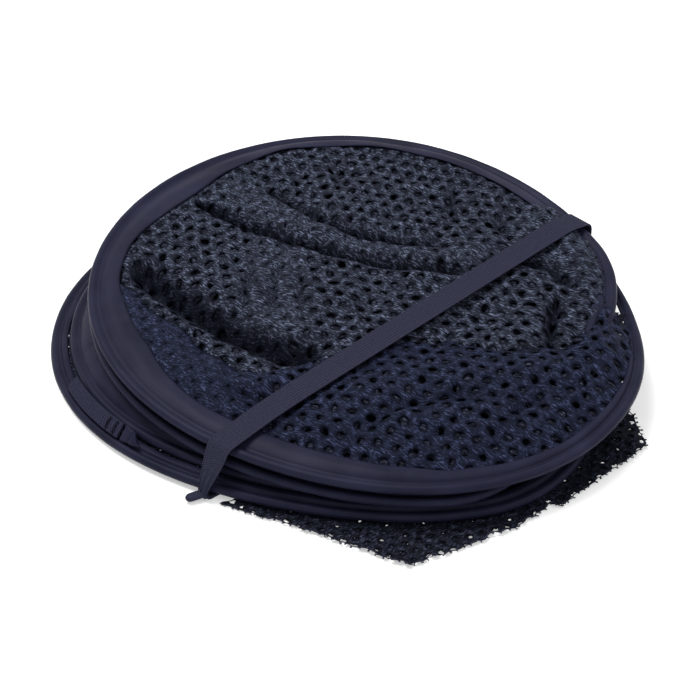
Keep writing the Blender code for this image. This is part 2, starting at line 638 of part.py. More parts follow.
def handle(webbing, satin, thread):
    count = 8
    frames = [handle_frame(HANDLE_TO + (HANDLE_FROM - HANDLE_TO) * i / count) for i in range(count + 1)]
    section = rectangle(HANDLE_WIDTH, HANDLE_THICKNESS)
    pivot = frames[0][0]
    add_part("carry_handle", loft([placed(f, section) for f in frames]), webbing, pivot)

    lift = HANDLE_THICKNESS / 2.0 + CLEARANCE + TACK_THICKNESS / 2.0
    for row, step in enumerate((0.6, 1.5)):
        ends = [HANDLE_TO + (HANDLE_FROM - HANDLE_TO) * (step + side) / count for side in (-0.13, 0.13)]
        band = rectangle(HANDLE_WIDTH - TACK_MARGIN, TACK_THICKNESS, lift)
        tack = loft([placed(handle_frame(end), band) for end in ends])
        add_part(("handle_end_tack", "handle_inner_tack")[row], tack, thread, pivot)

    tape = []
    for step, width in ((0.7, 1.0), (1.6, 0.8), (2.6, 0.3)):
        band = rectangle(HANDLE_WIDTH * width, HANDLE_THICKNESS)
        tape.append(placed(handle_frame(HANDLE_TO + step * 2.1), band))
    add_part("handle_anchor_tape", loft(tape), satin)


# ---------------------------------------------------------------- elastic band
def held_outline():
    """Convex outline, as (along, up), of all that lies within the band's width."""
    reach = BAND_WIDTH / 2.0 + CLEARANCE
    found = []
    for piece in parts.objects:
        place = piece.location
        for edge in piece.data.edges:
            ends = [piece.data.vertices[i].co + place for i in edge.vertices]
            flat = [Vector(((e.xy - BAND_POINT).dot(bandAlong), e.z)) for e in ends]
            across = [(e.xy - BAND_POINT).dot(bandAcross) for e in ends]
            for side in (-reach, reach):
                if (across[0] - side) * (across[1] - side) < 0.0:
                    found.append(flat[0].lerp(flat[1], (side - across[0]) / (across[1] - across[0])))
            found += [spot for spot, offset in zip(flat, across) if abs(offset) <= reach]
    found.sort(key=lambda spot: (spot.x, spot.y))
    chain = []
    for row in (found, found[::-1]):
        side = []
        for spot in row:
            while len(side) > 1 and (side[-1] - side[-2]).cross(spot - side[-1]) <= 1e-12:
                side.pop()
            side.append(spot)
        chain += side[:-1]
    return chain


def band_path():
    """The held outline drawn out by half the band and its clearance, with its corners rounded."""
    outline = held_outline()
    grow = CLEARANCE + BAND_THICKNESS / 2.0
    path = []
    for i, spot in enumerate(outline):
        before = (spot - outline[i - 1]).normalized()
        after = (outline[(i + 1) % len(outline)] - spot).normalized()
        first = math.atan2(-before.x, before.y)
        turned = abs(before.angle_signed(after))
        steps = max(1, round(turned / math.radians(24.0)))
        for k in range(steps + 1):
            angle = first + turned * k / steps
            point = spot + Vector((math.cos(angle), math.sin(angle))) * grow
            if not path or (point - path[-1]).length > 0.8 * BAND_THICKNESS:
                path.append(point)
    return path


def elastic_band(finish, thread):
    path = band_path()
    rings = []
    for i, spot in enumerate(path):
        run = (path[(i + 1) % len(path)] - path[i - 1]).normalized()
        out = Vector((run.y, -run.x))
        ring = []
        for side, depth in ((-1, -1), (1, -1), (1, 1), (-1, 1)):
            point = spot + out * depth * BAND_THICKNESS / 2.0
            level = BAND_POINT + bandAlong * point.x + bandAcross * side * BAND_WIDTH / 2.0
            ring.append(Vector((level.x, level.y, max(point.y, 0.0))))
        rings.append(ring)
    add_part("elastic_band", loft(rings, closed=True), finish)

    floor_run = [spot.x for spot in path if spot.y < BAND_THICKNESS]
    middle = (min(floor_run) + max(floor_run)) / 2.0
    low = BAND_THICKNESS + CLEARANCE
    corners = []
    for along, across in ((-1, -1), (1, -1), (1, 1), (-1, 1)):
        corners.append(BAND_POINT + bandAlong * (middle + along * BAND_LAP / 2.0)
                       + bandAcross * across * (BAND_WIDTH / 2.0 - BAND_LAP_SHORT))
    lap = slab(corners, BAND_LAP_THICKNESS)
    bmesh.ops.translate(lap, verts=lap.verts, vec=(0.0, 0.0, low))
    add_part("elastic_band_lap", lap, thread)


# ---------------------------------------------------------------- the whole
def centre_on_floor():
    """Moves the whole so that its origin lies under the middle of its box, at floor level."""
    corners = [piece.location + vert.co for piece in parts.objects for vert in piece.data.vertices]
    ends = [(min(corner[i] for corner in corners), max(corner[i] for corner in corners)) for i in (0, 1)]
    middle = Vector((sum(ends[0]) / 2.0, sum(ends[1]) / 2.0, 0.0))
    for piece in parts.objects:
        if piece.location.length:
            piece.location -= middle
        else:
            piece.data.transform(Matrix.Translation(-middle))
    return middle


def build():
    for old in list(bpy.data.objects):
        bpy.data.objects.remove(old, do_unlink=True)
    bpy.context.scene.collection.children.link(parts)
    steel = material("spring_steel", (0.32, 0.33, 0.35), 0.35, 1.0)
    plated = material("zinc_plated_steel", (0.55, 0.56, 0.58), 0.40, 1.0)
    satin = material("navy_satin_binding", (0.020, 0.021, 0.040), 0.45)
    net = material("navy_honeycomb_mesh", (0.016, 0.019, 0.034), 0.75)
    webbing = material("navy_ribbed_webbing", (0.022, 0.023, 0.040), 0.80)
    elastic = material("navy_elastic", (0.024, 0.026, 0.046), 0.70)
    thread = material("navy_thread", (0.018, 0.019, 0.036), 0.65)
    for loop in (lowerLoop, upperLoop):
        build_loop(loop, steel, plated, satin)
    lower_mesh(net)
    upper_mesh(net)
    front_mesh(net)
    elastic_band(elastic, thread)
    loose_panel(net)
    handle(webbing, satin, thread)
    centre_on_floor()


build()
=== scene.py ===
import math

import bmesh
import bpy
from mathutils import Matrix, Vector, noise


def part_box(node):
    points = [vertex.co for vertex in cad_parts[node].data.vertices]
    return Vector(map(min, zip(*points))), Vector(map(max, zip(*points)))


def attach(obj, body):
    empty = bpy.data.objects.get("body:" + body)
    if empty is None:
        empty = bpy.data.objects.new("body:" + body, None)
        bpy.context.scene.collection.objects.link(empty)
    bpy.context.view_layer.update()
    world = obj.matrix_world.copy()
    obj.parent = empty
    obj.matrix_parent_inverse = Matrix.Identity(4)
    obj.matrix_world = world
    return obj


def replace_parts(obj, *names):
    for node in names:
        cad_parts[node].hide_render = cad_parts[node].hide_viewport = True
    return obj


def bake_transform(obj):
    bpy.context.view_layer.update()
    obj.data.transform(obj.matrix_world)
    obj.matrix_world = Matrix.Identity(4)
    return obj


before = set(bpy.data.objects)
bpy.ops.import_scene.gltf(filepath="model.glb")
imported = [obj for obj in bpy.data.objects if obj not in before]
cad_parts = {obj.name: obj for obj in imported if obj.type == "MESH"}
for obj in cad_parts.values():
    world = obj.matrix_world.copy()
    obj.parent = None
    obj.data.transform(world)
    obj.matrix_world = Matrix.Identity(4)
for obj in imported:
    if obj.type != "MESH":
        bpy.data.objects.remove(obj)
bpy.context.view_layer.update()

# camera, floor and light
studio = dict(
    target=(0.0023, -0.0134, 0.0180), distance=0.95, elevation=37.0, lens=110.0, shift=(0.0029, 0.0029),
    floorSize=2.6, floorGlow=0.38, worldStrength=0.42,
    keyPlace=(-0.40, 0.30, 1.30), keyPower=17.0, keySize=0.7,
    fillPlace=(0.8, -0.3, 0.9), fillPower=3.5, fillSize=0.8,
    frontPlace=(-0.3, -1.0, 0.5), frontPower=1.2, frontSize=0.9,
)

# the two coils of wire, as they lie: angles in degrees from +X toward +Y, lengths in metres
pipeRadius = 0.0021
stackPitch = 0.0068
bandPoint = Vector((0.0229, -0.0007))
bandHeading = 43.0
bandWidth = 0.0125
upperAxes = (0.1282, 0.1124)
frontLevel = 2.0 * pipeRadius + stackPitch
frontReach = upperAxes[1] + 0.0090
coils = dict(
    upper=dict(
        centre=Vector((0.0077, 0.0244)), axes=upperAxes, yaw=-39.0, lobes=(-0.019, 15.0),
        hop=0.0, rests=False,
        turns=[
            dict(inset=0.0, level=frontLevel + stackPitch + 0.092 * frontReach, rise=0.092, fall=-0.008,
                 flange=0.0115, tilt=17.0, shift=(320, 360), climb=(320, 360)),
            dict(inset=0.0, level=frontLevel + 0.083 * frontReach, rise=0.083, fall=-0.008,
                 flange=0.0085, tilt=12.0, shift=(285, 325), climb=(285, 325)),
            dict(inset=0.020, level=frontLevel + 0.0025 + 0.042 * frontReach, rise=0.042, fall=0.0,
                 flange=0.0080, tilt=8.0, shift=(335, 380), climb=(245, 290)),
        ]),
    lower=dict(
        centre=Vector((-0.0079, 0.0234)), axes=(0.1351, 0.1110), yaw=-36.5, lobes=(-0.033, 25.0),
        hop=0.0060, rests=True,
        turns=[
            dict(inset=0.0, level=pipeRadius, rise=0.0, fall=0.0,
                 flange=0.0066, tilt=22.0, shift=(300, 335), climb=(300, 335)),
            dict(inset=0.009, level=pipeRadius + 0.0024, rise=0.0, fall=-0.018,
                 flange=0.0070, tilt=12.0, shift=(260, 298), climb=(260, 298)),
            dict(inset=0.020, level=pipeRadius + 0.0009, rise=0.0, fall=0.0,
                 flange=0.0075, tilt=4.0, shift=(325, 352), climb=(325, 352)),
        ]),
)
hopSpan = dict(start=(222, 256), end=(352, 380))  # where the lower coil's last turn rides up on the others
# extra width of the flanges: how much, at what angle, how far it reaches
flangeSwells = dict(
    top=[(0.0085, 140.0, 19.0), (0.0055, 199.0, 19.0), (0.0020, 245.0, 24.0)], topRise=0.0034,
    pinch=0.0045, pinchFrom=(262, 320), pinchTo=(372, 380),
    side=(0.0060, 195.0, 38.0), sideTilt=26.0,
)
firstAngle = 20.0                        # each turn is counted from here
jointAngle = 92.0                        # the wire's ends meet here
jointPlace = 2.0 + (jointAngle - firstAngle) / 360.0
restLift = 0.0013                        # how far the lower coil is raised by the band and panel under it


def smooth(value):
    value = min(max(value, 0.0), 1.0)
    return value * value * (3.0 - 2.0 * value)


def window(value, start, end):
    return smooth((value - start) / (end - start))


def direction(degrees):
    return Vector((math.cos(math.radians(degrees)), math.sin(math.radians(degrees))))


def bump(value, width):
    return math.exp(-(value / width) ** 2)


bandAlong, bandAcross = direction(bandHeading), direction(bandHeading - 90.0)


def restHeight(spot):
    across = (spot - bandPoint).dot(bandAcross) + bandWidth
    return restLift * smooth(1.0 + across / upperAxes[1])


def planPoint(coil, inset, angle):
    long, short = coil["axes"][0] - inset, coil["axes"][1] - inset
    local = math.radians(angle - coil["yaw"])
    reach = long * short / math.hypot(short * math.cos(local), long * math.sin(local))
    waviness, crest = coil["lobes"]
    reach *= 1.0 + waviness * math.cos(3.0 * math.radians(angle - crest))
    return coil["centre"] + direction(angle) * reach


def levelAt(coil, turn, spot):
    offset = spot - coil["centre"]
    return turn["level"] + turn["rise"] * offset.y + turn["fall"] * offset.x


def flangeSwell(coil, count, angle):
    values = flangeSwells
    if coil["rests"]:
        extra, crest, reach = values["side"]
        swell = bump(angle - crest, reach) if count == 1 else 0.0
        return extra * swell, values["sideTilt"] * swell
    if count:
        return 0.0, 0.0
    wider = sum(extra * bump(angle - crest, reach) for extra, crest, reach in values["top"])
    pinched = window(angle, *values["pinchFrom"]) * (1.0 - window(angle, *values["pinchTo"]))
    return wider - values["pinch"] * pinched, 0.0


def pathAt(coil, place):
    # centre of the wire, width and tilt of the binding's flange, at a place counted in turns
    place %= 3.0
    count = int(place)
    here, after = coil["turns"][count], coil["turns"][(count + 1) % 3]
    angle = firstAngle + 360.0 * (place - count)
    shift, climb = window(angle, *here["shift"]), window(angle, *here["climb"])
    spot = planPoint(coil, here["inset"], angle).lerp(planPoint(coil, after["inset"], angle), shift)
    height = levelAt(coil, here, spot) * (1.0 - climb) + levelAt(coil, after, spot) * climb
    if coil["rests"]:
        height += restHeight(spot)
    if count == 2:
        height += coil["hop"] * window(angle, *hopSpan["start"]) * (1.0 - window(angle, *hopSpan["end"]))
    wider, steeper = flangeSwell(coil, count, angle)
    flange = here["flange"] * (1.0 - shift) + after["flange"] * shift + wider
    tilt = here["tilt"] * (1.0 - shift) + after["tilt"] * shift + steeper
    if not coil["rests"]:
        most = flangeSwells["topRise"]
        tilt = min(tilt, math.degrees(math.asin(most / max(flange, most))))
    return Vector((spot.x, spot.y, height)), flange, tilt


def frameAt(coil, place):
    step = 0.25 / 36
    centre, flange, tilt = pathAt(coil, place)
    tangent = (pathAt(coil, place + step)[0] - pathAt(coil, place - step)[0]).normalized()
    inward = Vector((0.0, 0.0, 1.0)).cross(tangent).normalized()
    raised = tangent.cross(inward)
    lean = math.radians(tilt)
    toward = inward * math.cos(lean) + raised * math.sin(lean)
    return centre, toward, raised * math.cos(lean) - inward * math.sin(lean), flange


def flangeEdge(coil, place):
    centre, toward, _, flange = frameAt(coil, place)
    return centre + toward * flange


def middleOf(points):
    return Vector([(min(p[i] for p in points) + max(p[i] for p in points)) / 2.0 for i in range(3)])


# the coils are counted from a point of their own, and this brings every piece to its place in the frame
coilOffset = middleOf([Vector(corner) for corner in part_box("lower_spring_wire")]) \
    - middleOf([pathAt(coils["lower"], count / 36)[0] for count in range(108)])
coilOffset.z = 0.0
print("coils stand off by", [round(1000.0 * value, 2) for value in coilOffset])


def newPiece(name, shape, finish, body, smoothed=True):
    shape.verts.ensure_lookup_table()
    bmesh.ops.translate(shape, verts=shape.verts, vec=coilOffset)
    mesh = bpy.data.meshes.new(name)
    shape.to_mesh(mesh)
    shape.free()
    mesh.materials.append(finish)
    if smoothed:
        mesh.shade_smooth()
    piece = bpy.data.objects.new(name, mesh)
    bpy.context.scene.collection.objects.link(piece)
    if body:
        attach(piece, body)
    print(name, len(mesh.polygons), "faces")
    return piece


def applyModifiers(piece):
    depsgraph = bpy.context.evaluated_depsgraph_get()
    evaluated = piece.evaluated_get(depsgraph)
    finished = bpy.data.meshes.new_from_object(evaluated, preserve_all_data_layers=True, depsgraph=depsgraph)
    old = piece.data
    piece.modifiers.clear()
    piece.data = finished
    bpy.data.meshes.remove(old)
    return piece


def thicken(piece, thickness, offset=0.0):
    solid = piece.modifiers.new("thickness", "SOLIDIFY")
    solid.thickness = thickness
    solid.offset = offset
    solid.use_even_offset = False
    return piece


def startGrid(along, around):
    # a flat grid, to be bent into a skin, with a flat map of its own
    shape = bmesh.new()
    flat = shape.loops.layers.uv.new("UVMap")
    bmesh.ops.create_grid(shape, x_segments=along, y_segments=around, size=0.5, calc_uvs=True)
    return shape, flat


def closeSkin(shape, flat, length, girth, capped=True):
    # its flat map in metres, its seam merged, its ends filled and its faces outward
    for face in shape.faces:
        for loop in face.loops:
            loop[flat].uv = (loop[flat].uv.x * length, loop[flat].uv.y * girth)
    bmesh.ops.remove_doubles(shape, verts=shape.verts, dist=1e-6)
    if capped:
        bmesh.ops.holes_fill(shape, edges=[edge for edge in shape.edges if edge.is_boundary], sides=0)
    bmesh.ops.recalc_face_normals(shape, faces=shape.faces)
    return shape


# node groups that the materials share
vectorSocket, floatSocket = "NodeSocketVector", "NodeSocketFloat"


def newGroup(name, inputs, outputs):
    group = bpy.data.node_groups.new(name, "ShaderNodeTree")
    for label, kind, value in inputs:
        socket = group.interface.new_socket(name=label, in_out="INPUT", socket_type=kind)
        if value is not None:
            socket.default_value = value
    for label, kind in outputs:
        group.interface.new_socket(name=label, in_out="OUTPUT", socket_type=kind)
    nodes, links = group.nodes, group.links
    return group, nodes.new("NodeGroupInput"), nodes.new("NodeGroupOutput"), nodes, links


def mathNode(nodes, links, operation, first, second=None, third=None):
    node = nodes.new("ShaderNodeMath")
    node.operation = operation
    for index, value in enumerate((first, second, third)):
        if value is None:
            continue
        if isinstance(value, (int, float)):
            node.inputs[index].default_value = value
        else:
            links.new(value, node.inputs[index])
    return node.outputs[0]


def makeThreadLines():
    # fine threads along one direction of a flat map, with a little unevenness
    group, given, out, nodes, links = newGroup(
        "threadLines",
        [("Vector", vectorSocket, None), ("Across", floatSocket, 2000.0), ("Along", floatSocket, 300.0),
         ("Waver", floatSocket, 0.4)],
        [("Lines", floatSocket)])
    split = nodes.new("ShaderNodeSeparateXYZ")
    links.new(given.outputs["Vector"], split.inputs[0])
    waver = nodes.new("ShaderNodeTexNoise")
    waver.noise_dimensions = "3D"
    links.new(given.outputs["Vector"], waver.inputs["Vector"])
    links.new(given.outputs["Along"], waver.inputs["Scale"])
    waver.inputs["Detail"].default_value = 2.0
    turned = mathNode(nodes, links, "MULTIPLY", split.outputs["Y"], given.outputs["Across"])
    drift = mathNode(nodes, links, "MULTIPLY", waver.outputs["Fac"], given.outputs["Waver"])
    phase = mathNode(nodes, links, "ADD", turned, mathNode(nodes, links, "MULTIPLY", drift, 6.283))
    wave = mathNode(nodes, links, "SINE", phase)
    links.new(mathNode(nodes, links, "MULTIPLY_ADD", wave, 0.5, 0.5), out.inputs["Lines"])
    return group


def makeWeave():
    # over and under of two sets of threads, from a flat map
    group, given, out, nodes, links = newGroup(
        "wovenThreads",
        [("Vector", vectorSocket, None), ("Along", floatSocket, 8000.0), ("Across", floatSocket, 8000.0)],
        [("Height", floatSocket)])
    split = nodes.new("ShaderNodeSeparateXYZ")
    links.new(given.outputs["Vector"], split.inputs[0])
    along = mathNode(nodes, links, "MULTIPLY", split.outputs["X"], given.outputs["Along"])
    across = mathNode(nodes, links, "MULTIPLY", split.outputs["Y"], given.outputs["Across"])
    both = mathNode(nodes, links, "MULTIPLY", mathNode(nodes, links, "SINE", along),
                    mathNode(nodes, links, "SINE", across))
    links.new(mathNode(nodes, links, "MULTIPLY_ADD", both, 0.5, 0.5), out.inputs["Height"])
    return group


def makeMottle():
    # soft change of tone over a piece, from its place in space
    group, given, out, nodes, links = newGroup(
        "softMottle",
        [("Vector", vectorSocket, None), ("Broad", floatSocket, 30.0), ("Fine", floatSocket, 400.0)],
        [("Tone", floatSocket), ("Grain", floatSocket)])
    broad, fine = nodes.new("ShaderNodeTexNoise"), nodes.new("ShaderNodeTexNoise")
    for texture, label in ((broad, "Broad"), (fine, "Fine")):
        links.new(given.outputs["Vector"], texture.inputs["Vector"])
        links.new(given.outputs[label], texture.inputs["Scale"])
        texture.inputs["Detail"].default_value = 3.0
    links.new(broad.outputs["Fac"], out.inputs["Tone"])
    links.new(fine.outputs["Fac"], out.inputs["Grain"])
    return group


threadLines, wovenThreads, softMottle = makeThreadLines(), makeWeave(), makeMottle()


def startMaterial(name, roughness, specular, metallic=0.0, sheen=0.0):
    made = bpy.data.materials.new(name)
    made.use_nodes = True
    nodes, links = made.node_tree.nodes, made.node_tree.links
    shader = nodes["Principled BSDF"]
    shader.inputs["Roughness"].default_value = roughness
    shader.inputs["Specular IOR Level"].default_value = specular
    shader.inputs["Metallic"].default_value = metallic
    if sheen:
        shader.inputs["Sheen Weight"].default_value = sheen
        shader.inputs["Sheen Roughness"].default_value = 0.35
        shader.inputs["Sheen Tint"].default_value = (0.25, 0.28, 0.45, 1.0)
    return made, nodes, links, shader


def placeGroup(nodes, links, group, **values):
    node = nodes.new("ShaderNodeGroup")
    node.node_tree = group
    for label, value in values.items():
        if isinstance(value, (int, float)):
            node.inputs[label].default_value = value
        else:
            links.new(value, node.inputs[label])
    return node


def blendColours(nodes, links, mask, dark, light, low=0.3, high=0.7):
    ramp = nodes.new("ShaderNodeValToRGB")
    ramp.color_ramp.elements[0].position = low
    ramp.color_ramp.elements[1].position = high
    ramp.color_ramp.elements[0].color = (*dark, 1.0)
    ramp.color_ramp.elements[1].color = (*light, 1.0)
    links.new(mask, ramp.inputs["Fac"])
    return ramp.outputs["Color"]


def addBump(nodes, links, shader, height, strength, distance, after=None):
    node = nodes.new("ShaderNodeBump")
    node.inputs["Strength"].default_value = strength
    node.inputs["Distance"].default_value = distance
    links.new(height, node.inputs["Height"])
    if after is not None:
        links.new(after, node.inputs["Normal"])
    links.new(node.outputs["Normal"], shader.inputs["Normal"])
    return node.outputs["Normal"]


satinValues = dict(dark=(0.0090, 0.0096, 0.0230), light=(0.0180, 0.0188, 0.0410),
                   roughness=0.42, specular=0.055, sheen=0.01)


def makeSatin():
    values = satinValues
    made, nodes, links, shader = startMaterial("navySatinBinding", values["roughness"], values["specular"],
                                               sheen=values["sheen"])
    flat = nodes.new("ShaderNodeUVMap")
    space = nodes.new("ShaderNodeTexCoord")
    mottle = placeGroup(nodes, links, softMottle, Vector=space.outputs["Object"], Broad=45.0, Fine=900.0)
    weave = placeGroup(nodes, links, wovenThreads, Vector=flat.outputs["UV"], Along=9000.0, Across=7000.0)
    lines = placeGroup(nodes, links, threadLines, Vector=flat.outputs["UV"],
                       Across=5200.0, Along=120.0, Waver=0.5)
    links.new(blendColours(nodes, links, mottle.outputs["Tone"], values["dark"], values["light"]),
              shader.inputs["Base Color"])
    first = addBump(nodes, links, shader, weave.outputs["Height"], 0.25, 0.00010)
    second = addBump(nodes, links, shader, lines.outputs["Lines"], 0.10, 0.00006, first)
    addBump(nodes, links, shader, mottle.outputs["Grain"], 0.15, 0.00020, second)
    return made


def makeMetal(name, tone, roughness):
    made, nodes, links, shader = startMaterial(name, roughness, 0.5, metallic=1.0)
    space = nodes.new("ShaderNodeTexCoord")
    mottle = placeGroup(nodes, links, softMottle, Vector=space.outputs["Object"], Broad=120.0, Fine=2500.0)
    links.new(blendColours(nodes, links, mottle.outputs["Tone"], [0.8 * part for part in tone], tone),
              shader.inputs["Base Color"])
    addBump(nodes, links, shader, mottle.outputs["Grain"], 0.2, 0.00005)
    return made


satin = makeSatin()
springSteel = makeMetal("springSteel", (0.34, 0.35, 0.37), 0.32)
zincPlate = makeMetal("zincPlatedSteel", (0.56, 0.57, 0.59), 0.40)
for node in ("upper_spring_wire", "lower_spring_wire"):
    bpy.data.objects[node].material_slots[0].material = springSteel
for node in ("upper_wire_ferrule", "lower_wire_ferrule"):
    bpy.data.objects[node].material_slots[0].material = zincPlate

# binding: tape folded over the wire and stitched beside it
binding = dict(
    stations=560, around=26, thickness=0.0010, arch=0.0007, pucker=0.0009, fine=0.00012, edgeWander=0.0006,
    grooveAt=0.0010, grooveDepth=0.00045, grooveWidth=0.0006, opening=0.010, girth=0.036,
    topEnds=0.46, pipeEnds=0.82,
)


def puckered(inner, along, across, seed):
    return binding["pucker"] * inner * noise.noise(Vector((along * 48.0, across * 110.0, seed)))


def bindingProfile(share, flange, along, seed):
    # across and up for a share of the way round: along the top from the flange's edge to the pipe, round it,
    # and back below
    topEnds, pipeEnds = binding["topEnds"], binding["pipeEnds"]
    half = binding["thickness"] / 2.0
    neck = math.sqrt(pipeRadius ** 2 - half ** 2)
    edge = flange + binding["edgeWander"] * noise.noise(Vector((along * 60.0, seed, 0.0)))
    if share < topEnds:
        part = share / topEnds
        across = edge + (neck - edge) * part
        up = half * smooth(min(part / 0.12, 1.0))
        inner = (across - neck) / max(edge - neck, 1e-6)
        up += binding["arch"] * math.sin(math.pi * min(max(inner, 0.0), 1.0)) ** 2
        up += puckered(inner, along, across, seed)
        up += binding["fine"] * inner * noise.noise(Vector((along * 260.0, across * 60.0, seed + 7.0)))
        up -= binding["grooveDepth"] * bump(across - neck - binding["grooveAt"], binding["grooveWidth"])
        return across, up
    if share < pipeEnds:
        start = math.acos(neck / pipeRadius)
        turned = start + (2.0 * math.pi - 2.0 * start) * (share - topEnds) / (pipeEnds - topEnds)
        swell = 1.0 + 0.05 * noise.noise(Vector((along * 120.0, math.cos(turned), seed + math.sin(turned))))
        return pipeRadius * swell * math.cos(turned), pipeRadius * swell * math.sin(turned)
    part = (share - pipeEnds) / (1.0 - pipeEnds)
    across = neck + (edge - neck) * part
    inner = (across - neck) / max(edge - neck, 1e-6)
    up = -half * (1.0 - smooth((part - 0.8) / 0.2))
    return across, up + puckered(inner, along, across, seed)


def coilLength(coil, start, end):
    steps = int(abs(end - start) * 72) + 1
    points = [pathAt(coil, start + (end - start) * i / steps)[0] for i in range(steps + 1)]
    return sum((b - a).length for a, b in zip(points, points[1:]))


def makeBinding(name, coil, body, seed):
    length = coilLength(coil, 0.0, 3.0)
    opening = 3.0 * binding["opening"] / length * 1.05
    start, end = jointPlace + opening, jointPlace + 3.0 - opening
    count = 3 * binding["stations"]
    shape, flat = startGrid(count, binding["around"])
    frames = {}
    for vert in shape.verts:
        key = round((vert.co.x + 0.5) * count)
        if key not in frames:
            frames[key] = frameAt(coil, start + (end - start) * key / count)
        centre, toward, normal, flange = frames[key]
        share = (vert.co.y + 0.5) % 1.0
        across, up = bindingProfile(share, flange, length * key / count, seed)
        vert.co = centre + toward * across + normal * up
    closeSkin(shape, flat, length, binding["girth"])
    return newPiece(name, shape, satin, body)


bindingSeeds = dict(upper=1.0, lower=4.0)
upperBinding = makeBinding("upperBinding", coils["upper"], "upper_coil", bindingSeeds["upper"])
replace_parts(upperBinding, "upper_binding_sleeve")
lowerBinding = makeBinding("lowerBinding", coils["lower"], "lower_coil", bindingSeeds["lower"])
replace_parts(lowerBinding, "lower_binding_sleeve")

# honeycomb net: the top, front and loose panels, the layers under them and the imported layers inside
# one navy net cloth in copies: the front, loose, under and packed copies are darker as painted shade, and
# each light colour is a painted glint
netValues = dict(
    upper=dict(dark=(0.0018, 0.0024, 0.0060), light=(0.1500, 0.1750, 0.2650), base=0.060,
               roughness=0.60, specular=0.04),
    front=dict(dark=(0.0014, 0.0020, 0.0065), light=(0.0560, 0.0680, 0.1450), base=0.090,
               roughness=0.60, specular=0.04),
    loose=dict(dark=(0.0012, 0.0016, 0.0035), light=(0.0560, 0.0640, 0.1050), base=0.070,
               roughness=0.60, specular=0.04),
    under=dict(dark=(0.0014, 0.0018, 0.0042), light=(0.0900, 0.1020, 0.1550), base=0.060,
               roughness=0.65, specular=0.03),
    packed=dict(dark=(0.0010, 0.0013, 0.0030), light=(0.0600, 0.0680, 0.1050), base=0.070,
                roughness=0.75, specular=0.03, cells=150.0, wall=0.32),
)


def makeStrandGlints():
    # painted glints: short bright stitches of knitted thread, longer one way of the cloth, in uneven patches
    group, given, out, nodes, links = newGroup(
        "netStrandGlints",
        [("Flat", vectorSocket, None), ("Vector", vectorSocket, None), ("Turn", floatSocket, -0.35),
         ("Long", floatSocket, 460.0), ("Short", floatSocket, 1850.0), ("Patch", floatSocket, 360.0)],
        [("Mask", floatSocket), ("Height", floatSocket)])
    turn, scale = nodes.new("ShaderNodeVectorRotate"), nodes.new("ShaderNodeCombineXYZ")
    stretch = nodes.new("ShaderNodeVectorMath")
    turn.rotation_type = "Z_AXIS"
    links.new(given.outputs["Flat"], turn.inputs["Vector"])
    links.new(given.outputs["Turn"], turn.inputs["Angle"])
    links.new(given.outputs["Long"], scale.inputs["X"])
    links.new(given.outputs["Short"], scale.inputs["Y"])
    stretch.operation = "MULTIPLY"
    links.new(turn.outputs["Vector"], stretch.inputs[0])
    links.new(scale.outputs[0], stretch.inputs[1])
    stitches, patches = nodes.new("ShaderNodeTexNoise"), nodes.new("ShaderNodeTexNoise")
    links.new(stretch.outputs[0], stitches.inputs["Vector"])
    stitches.inputs["Scale"].default_value = 1.0
    stitches.inputs["Detail"].default_value = 1.5
    stitches.inputs["Distortion"].default_value = 0.8
    links.new(given.outputs["Vector"], patches.inputs["Vector"])
    links.new(given.outputs["Patch"], patches.inputs["Scale"])
    patches.inputs["Detail"].default_value = 2.0
    sharp = nodes.new("ShaderNodeMapRange")
    sharp.interpolation_type = "SMOOTHSTEP"
    sharp.inputs["From Min"].default_value, sharp.inputs["From Max"].default_value = 0.49, 0.64
    links.new(stitches.outputs["Fac"], sharp.inputs["Value"])
    uneven = nodes.new("ShaderNodeMapRange")
    uneven.inputs["From Min"].default_value, uneven.inputs["From Max"].default_value = 0.30, 0.68
    uneven.inputs["To Min"].default_value = 0.06
    links.new(patches.outputs["Fac"], uneven.inputs["Value"])
    # painted highlight: bright specks where light would catch the stitches
    mask = mathNode(nodes, links, "MULTIPLY", sharp.outputs["Result"], uneven.outputs["Result"])
    links.new(mask, out.inputs["Mask"])
    links.new(stitches.outputs["Fac"], out.inputs["Height"])
    return group


netStrandGlints = makeStrandGlints()


def makeNet(name, values, turn):
    # painted glints on the stitches, with painted shade toward each hole's edge and down in the folds
    made, nodes, links, shader = startMaterial(name, values["roughness"], values["specular"])
    flat, space = nodes.new("ShaderNodeUVMap"), nodes.new("ShaderNodeTexCoord")
    edge, fold = nodes.new("ShaderNodeAttribute"), nodes.new("ShaderNodeAttribute")
    edge.attribute_name, fold.attribute_name = "edge", "fold"
    strands = placeGroup(nodes, links, netStrandGlints, Flat=flat.outputs["UV"], Vector=space.outputs["Object"],
                         Turn=turn)
    # painted shade: darker toward each hole's edge
    solid = mathNode(nodes, links, "MULTIPLY_ADD", edge.outputs["Fac"], 0.85, 0.15)
    # painted shade: darker down in the creases, by the fold attribute
    lit = mathNode(nodes, links, "MULTIPLY_ADD", fold.outputs["Fac"], -0.85, 1.0)
    shade = mathNode(nodes, links, "MULTIPLY", solid, lit)
    # painted glints, dimmed by the same painted shade
    light = mathNode(nodes, links, "MULTIPLY", strands.outputs["Mask"], shade)
    base = mathNode(nodes, links, "MULTIPLY", shade, values["base"])
    tone = mathNode(nodes, links, "ADD", light, base)
    links.new(blendColours(nodes, links, tone, values["dark"], values["light"], 0.0, 1.0),
              shader.inputs["Base Color"])
    addBump(nodes, links, shader, strands.outputs["Height"], 0.9, 0.00040)
    return made


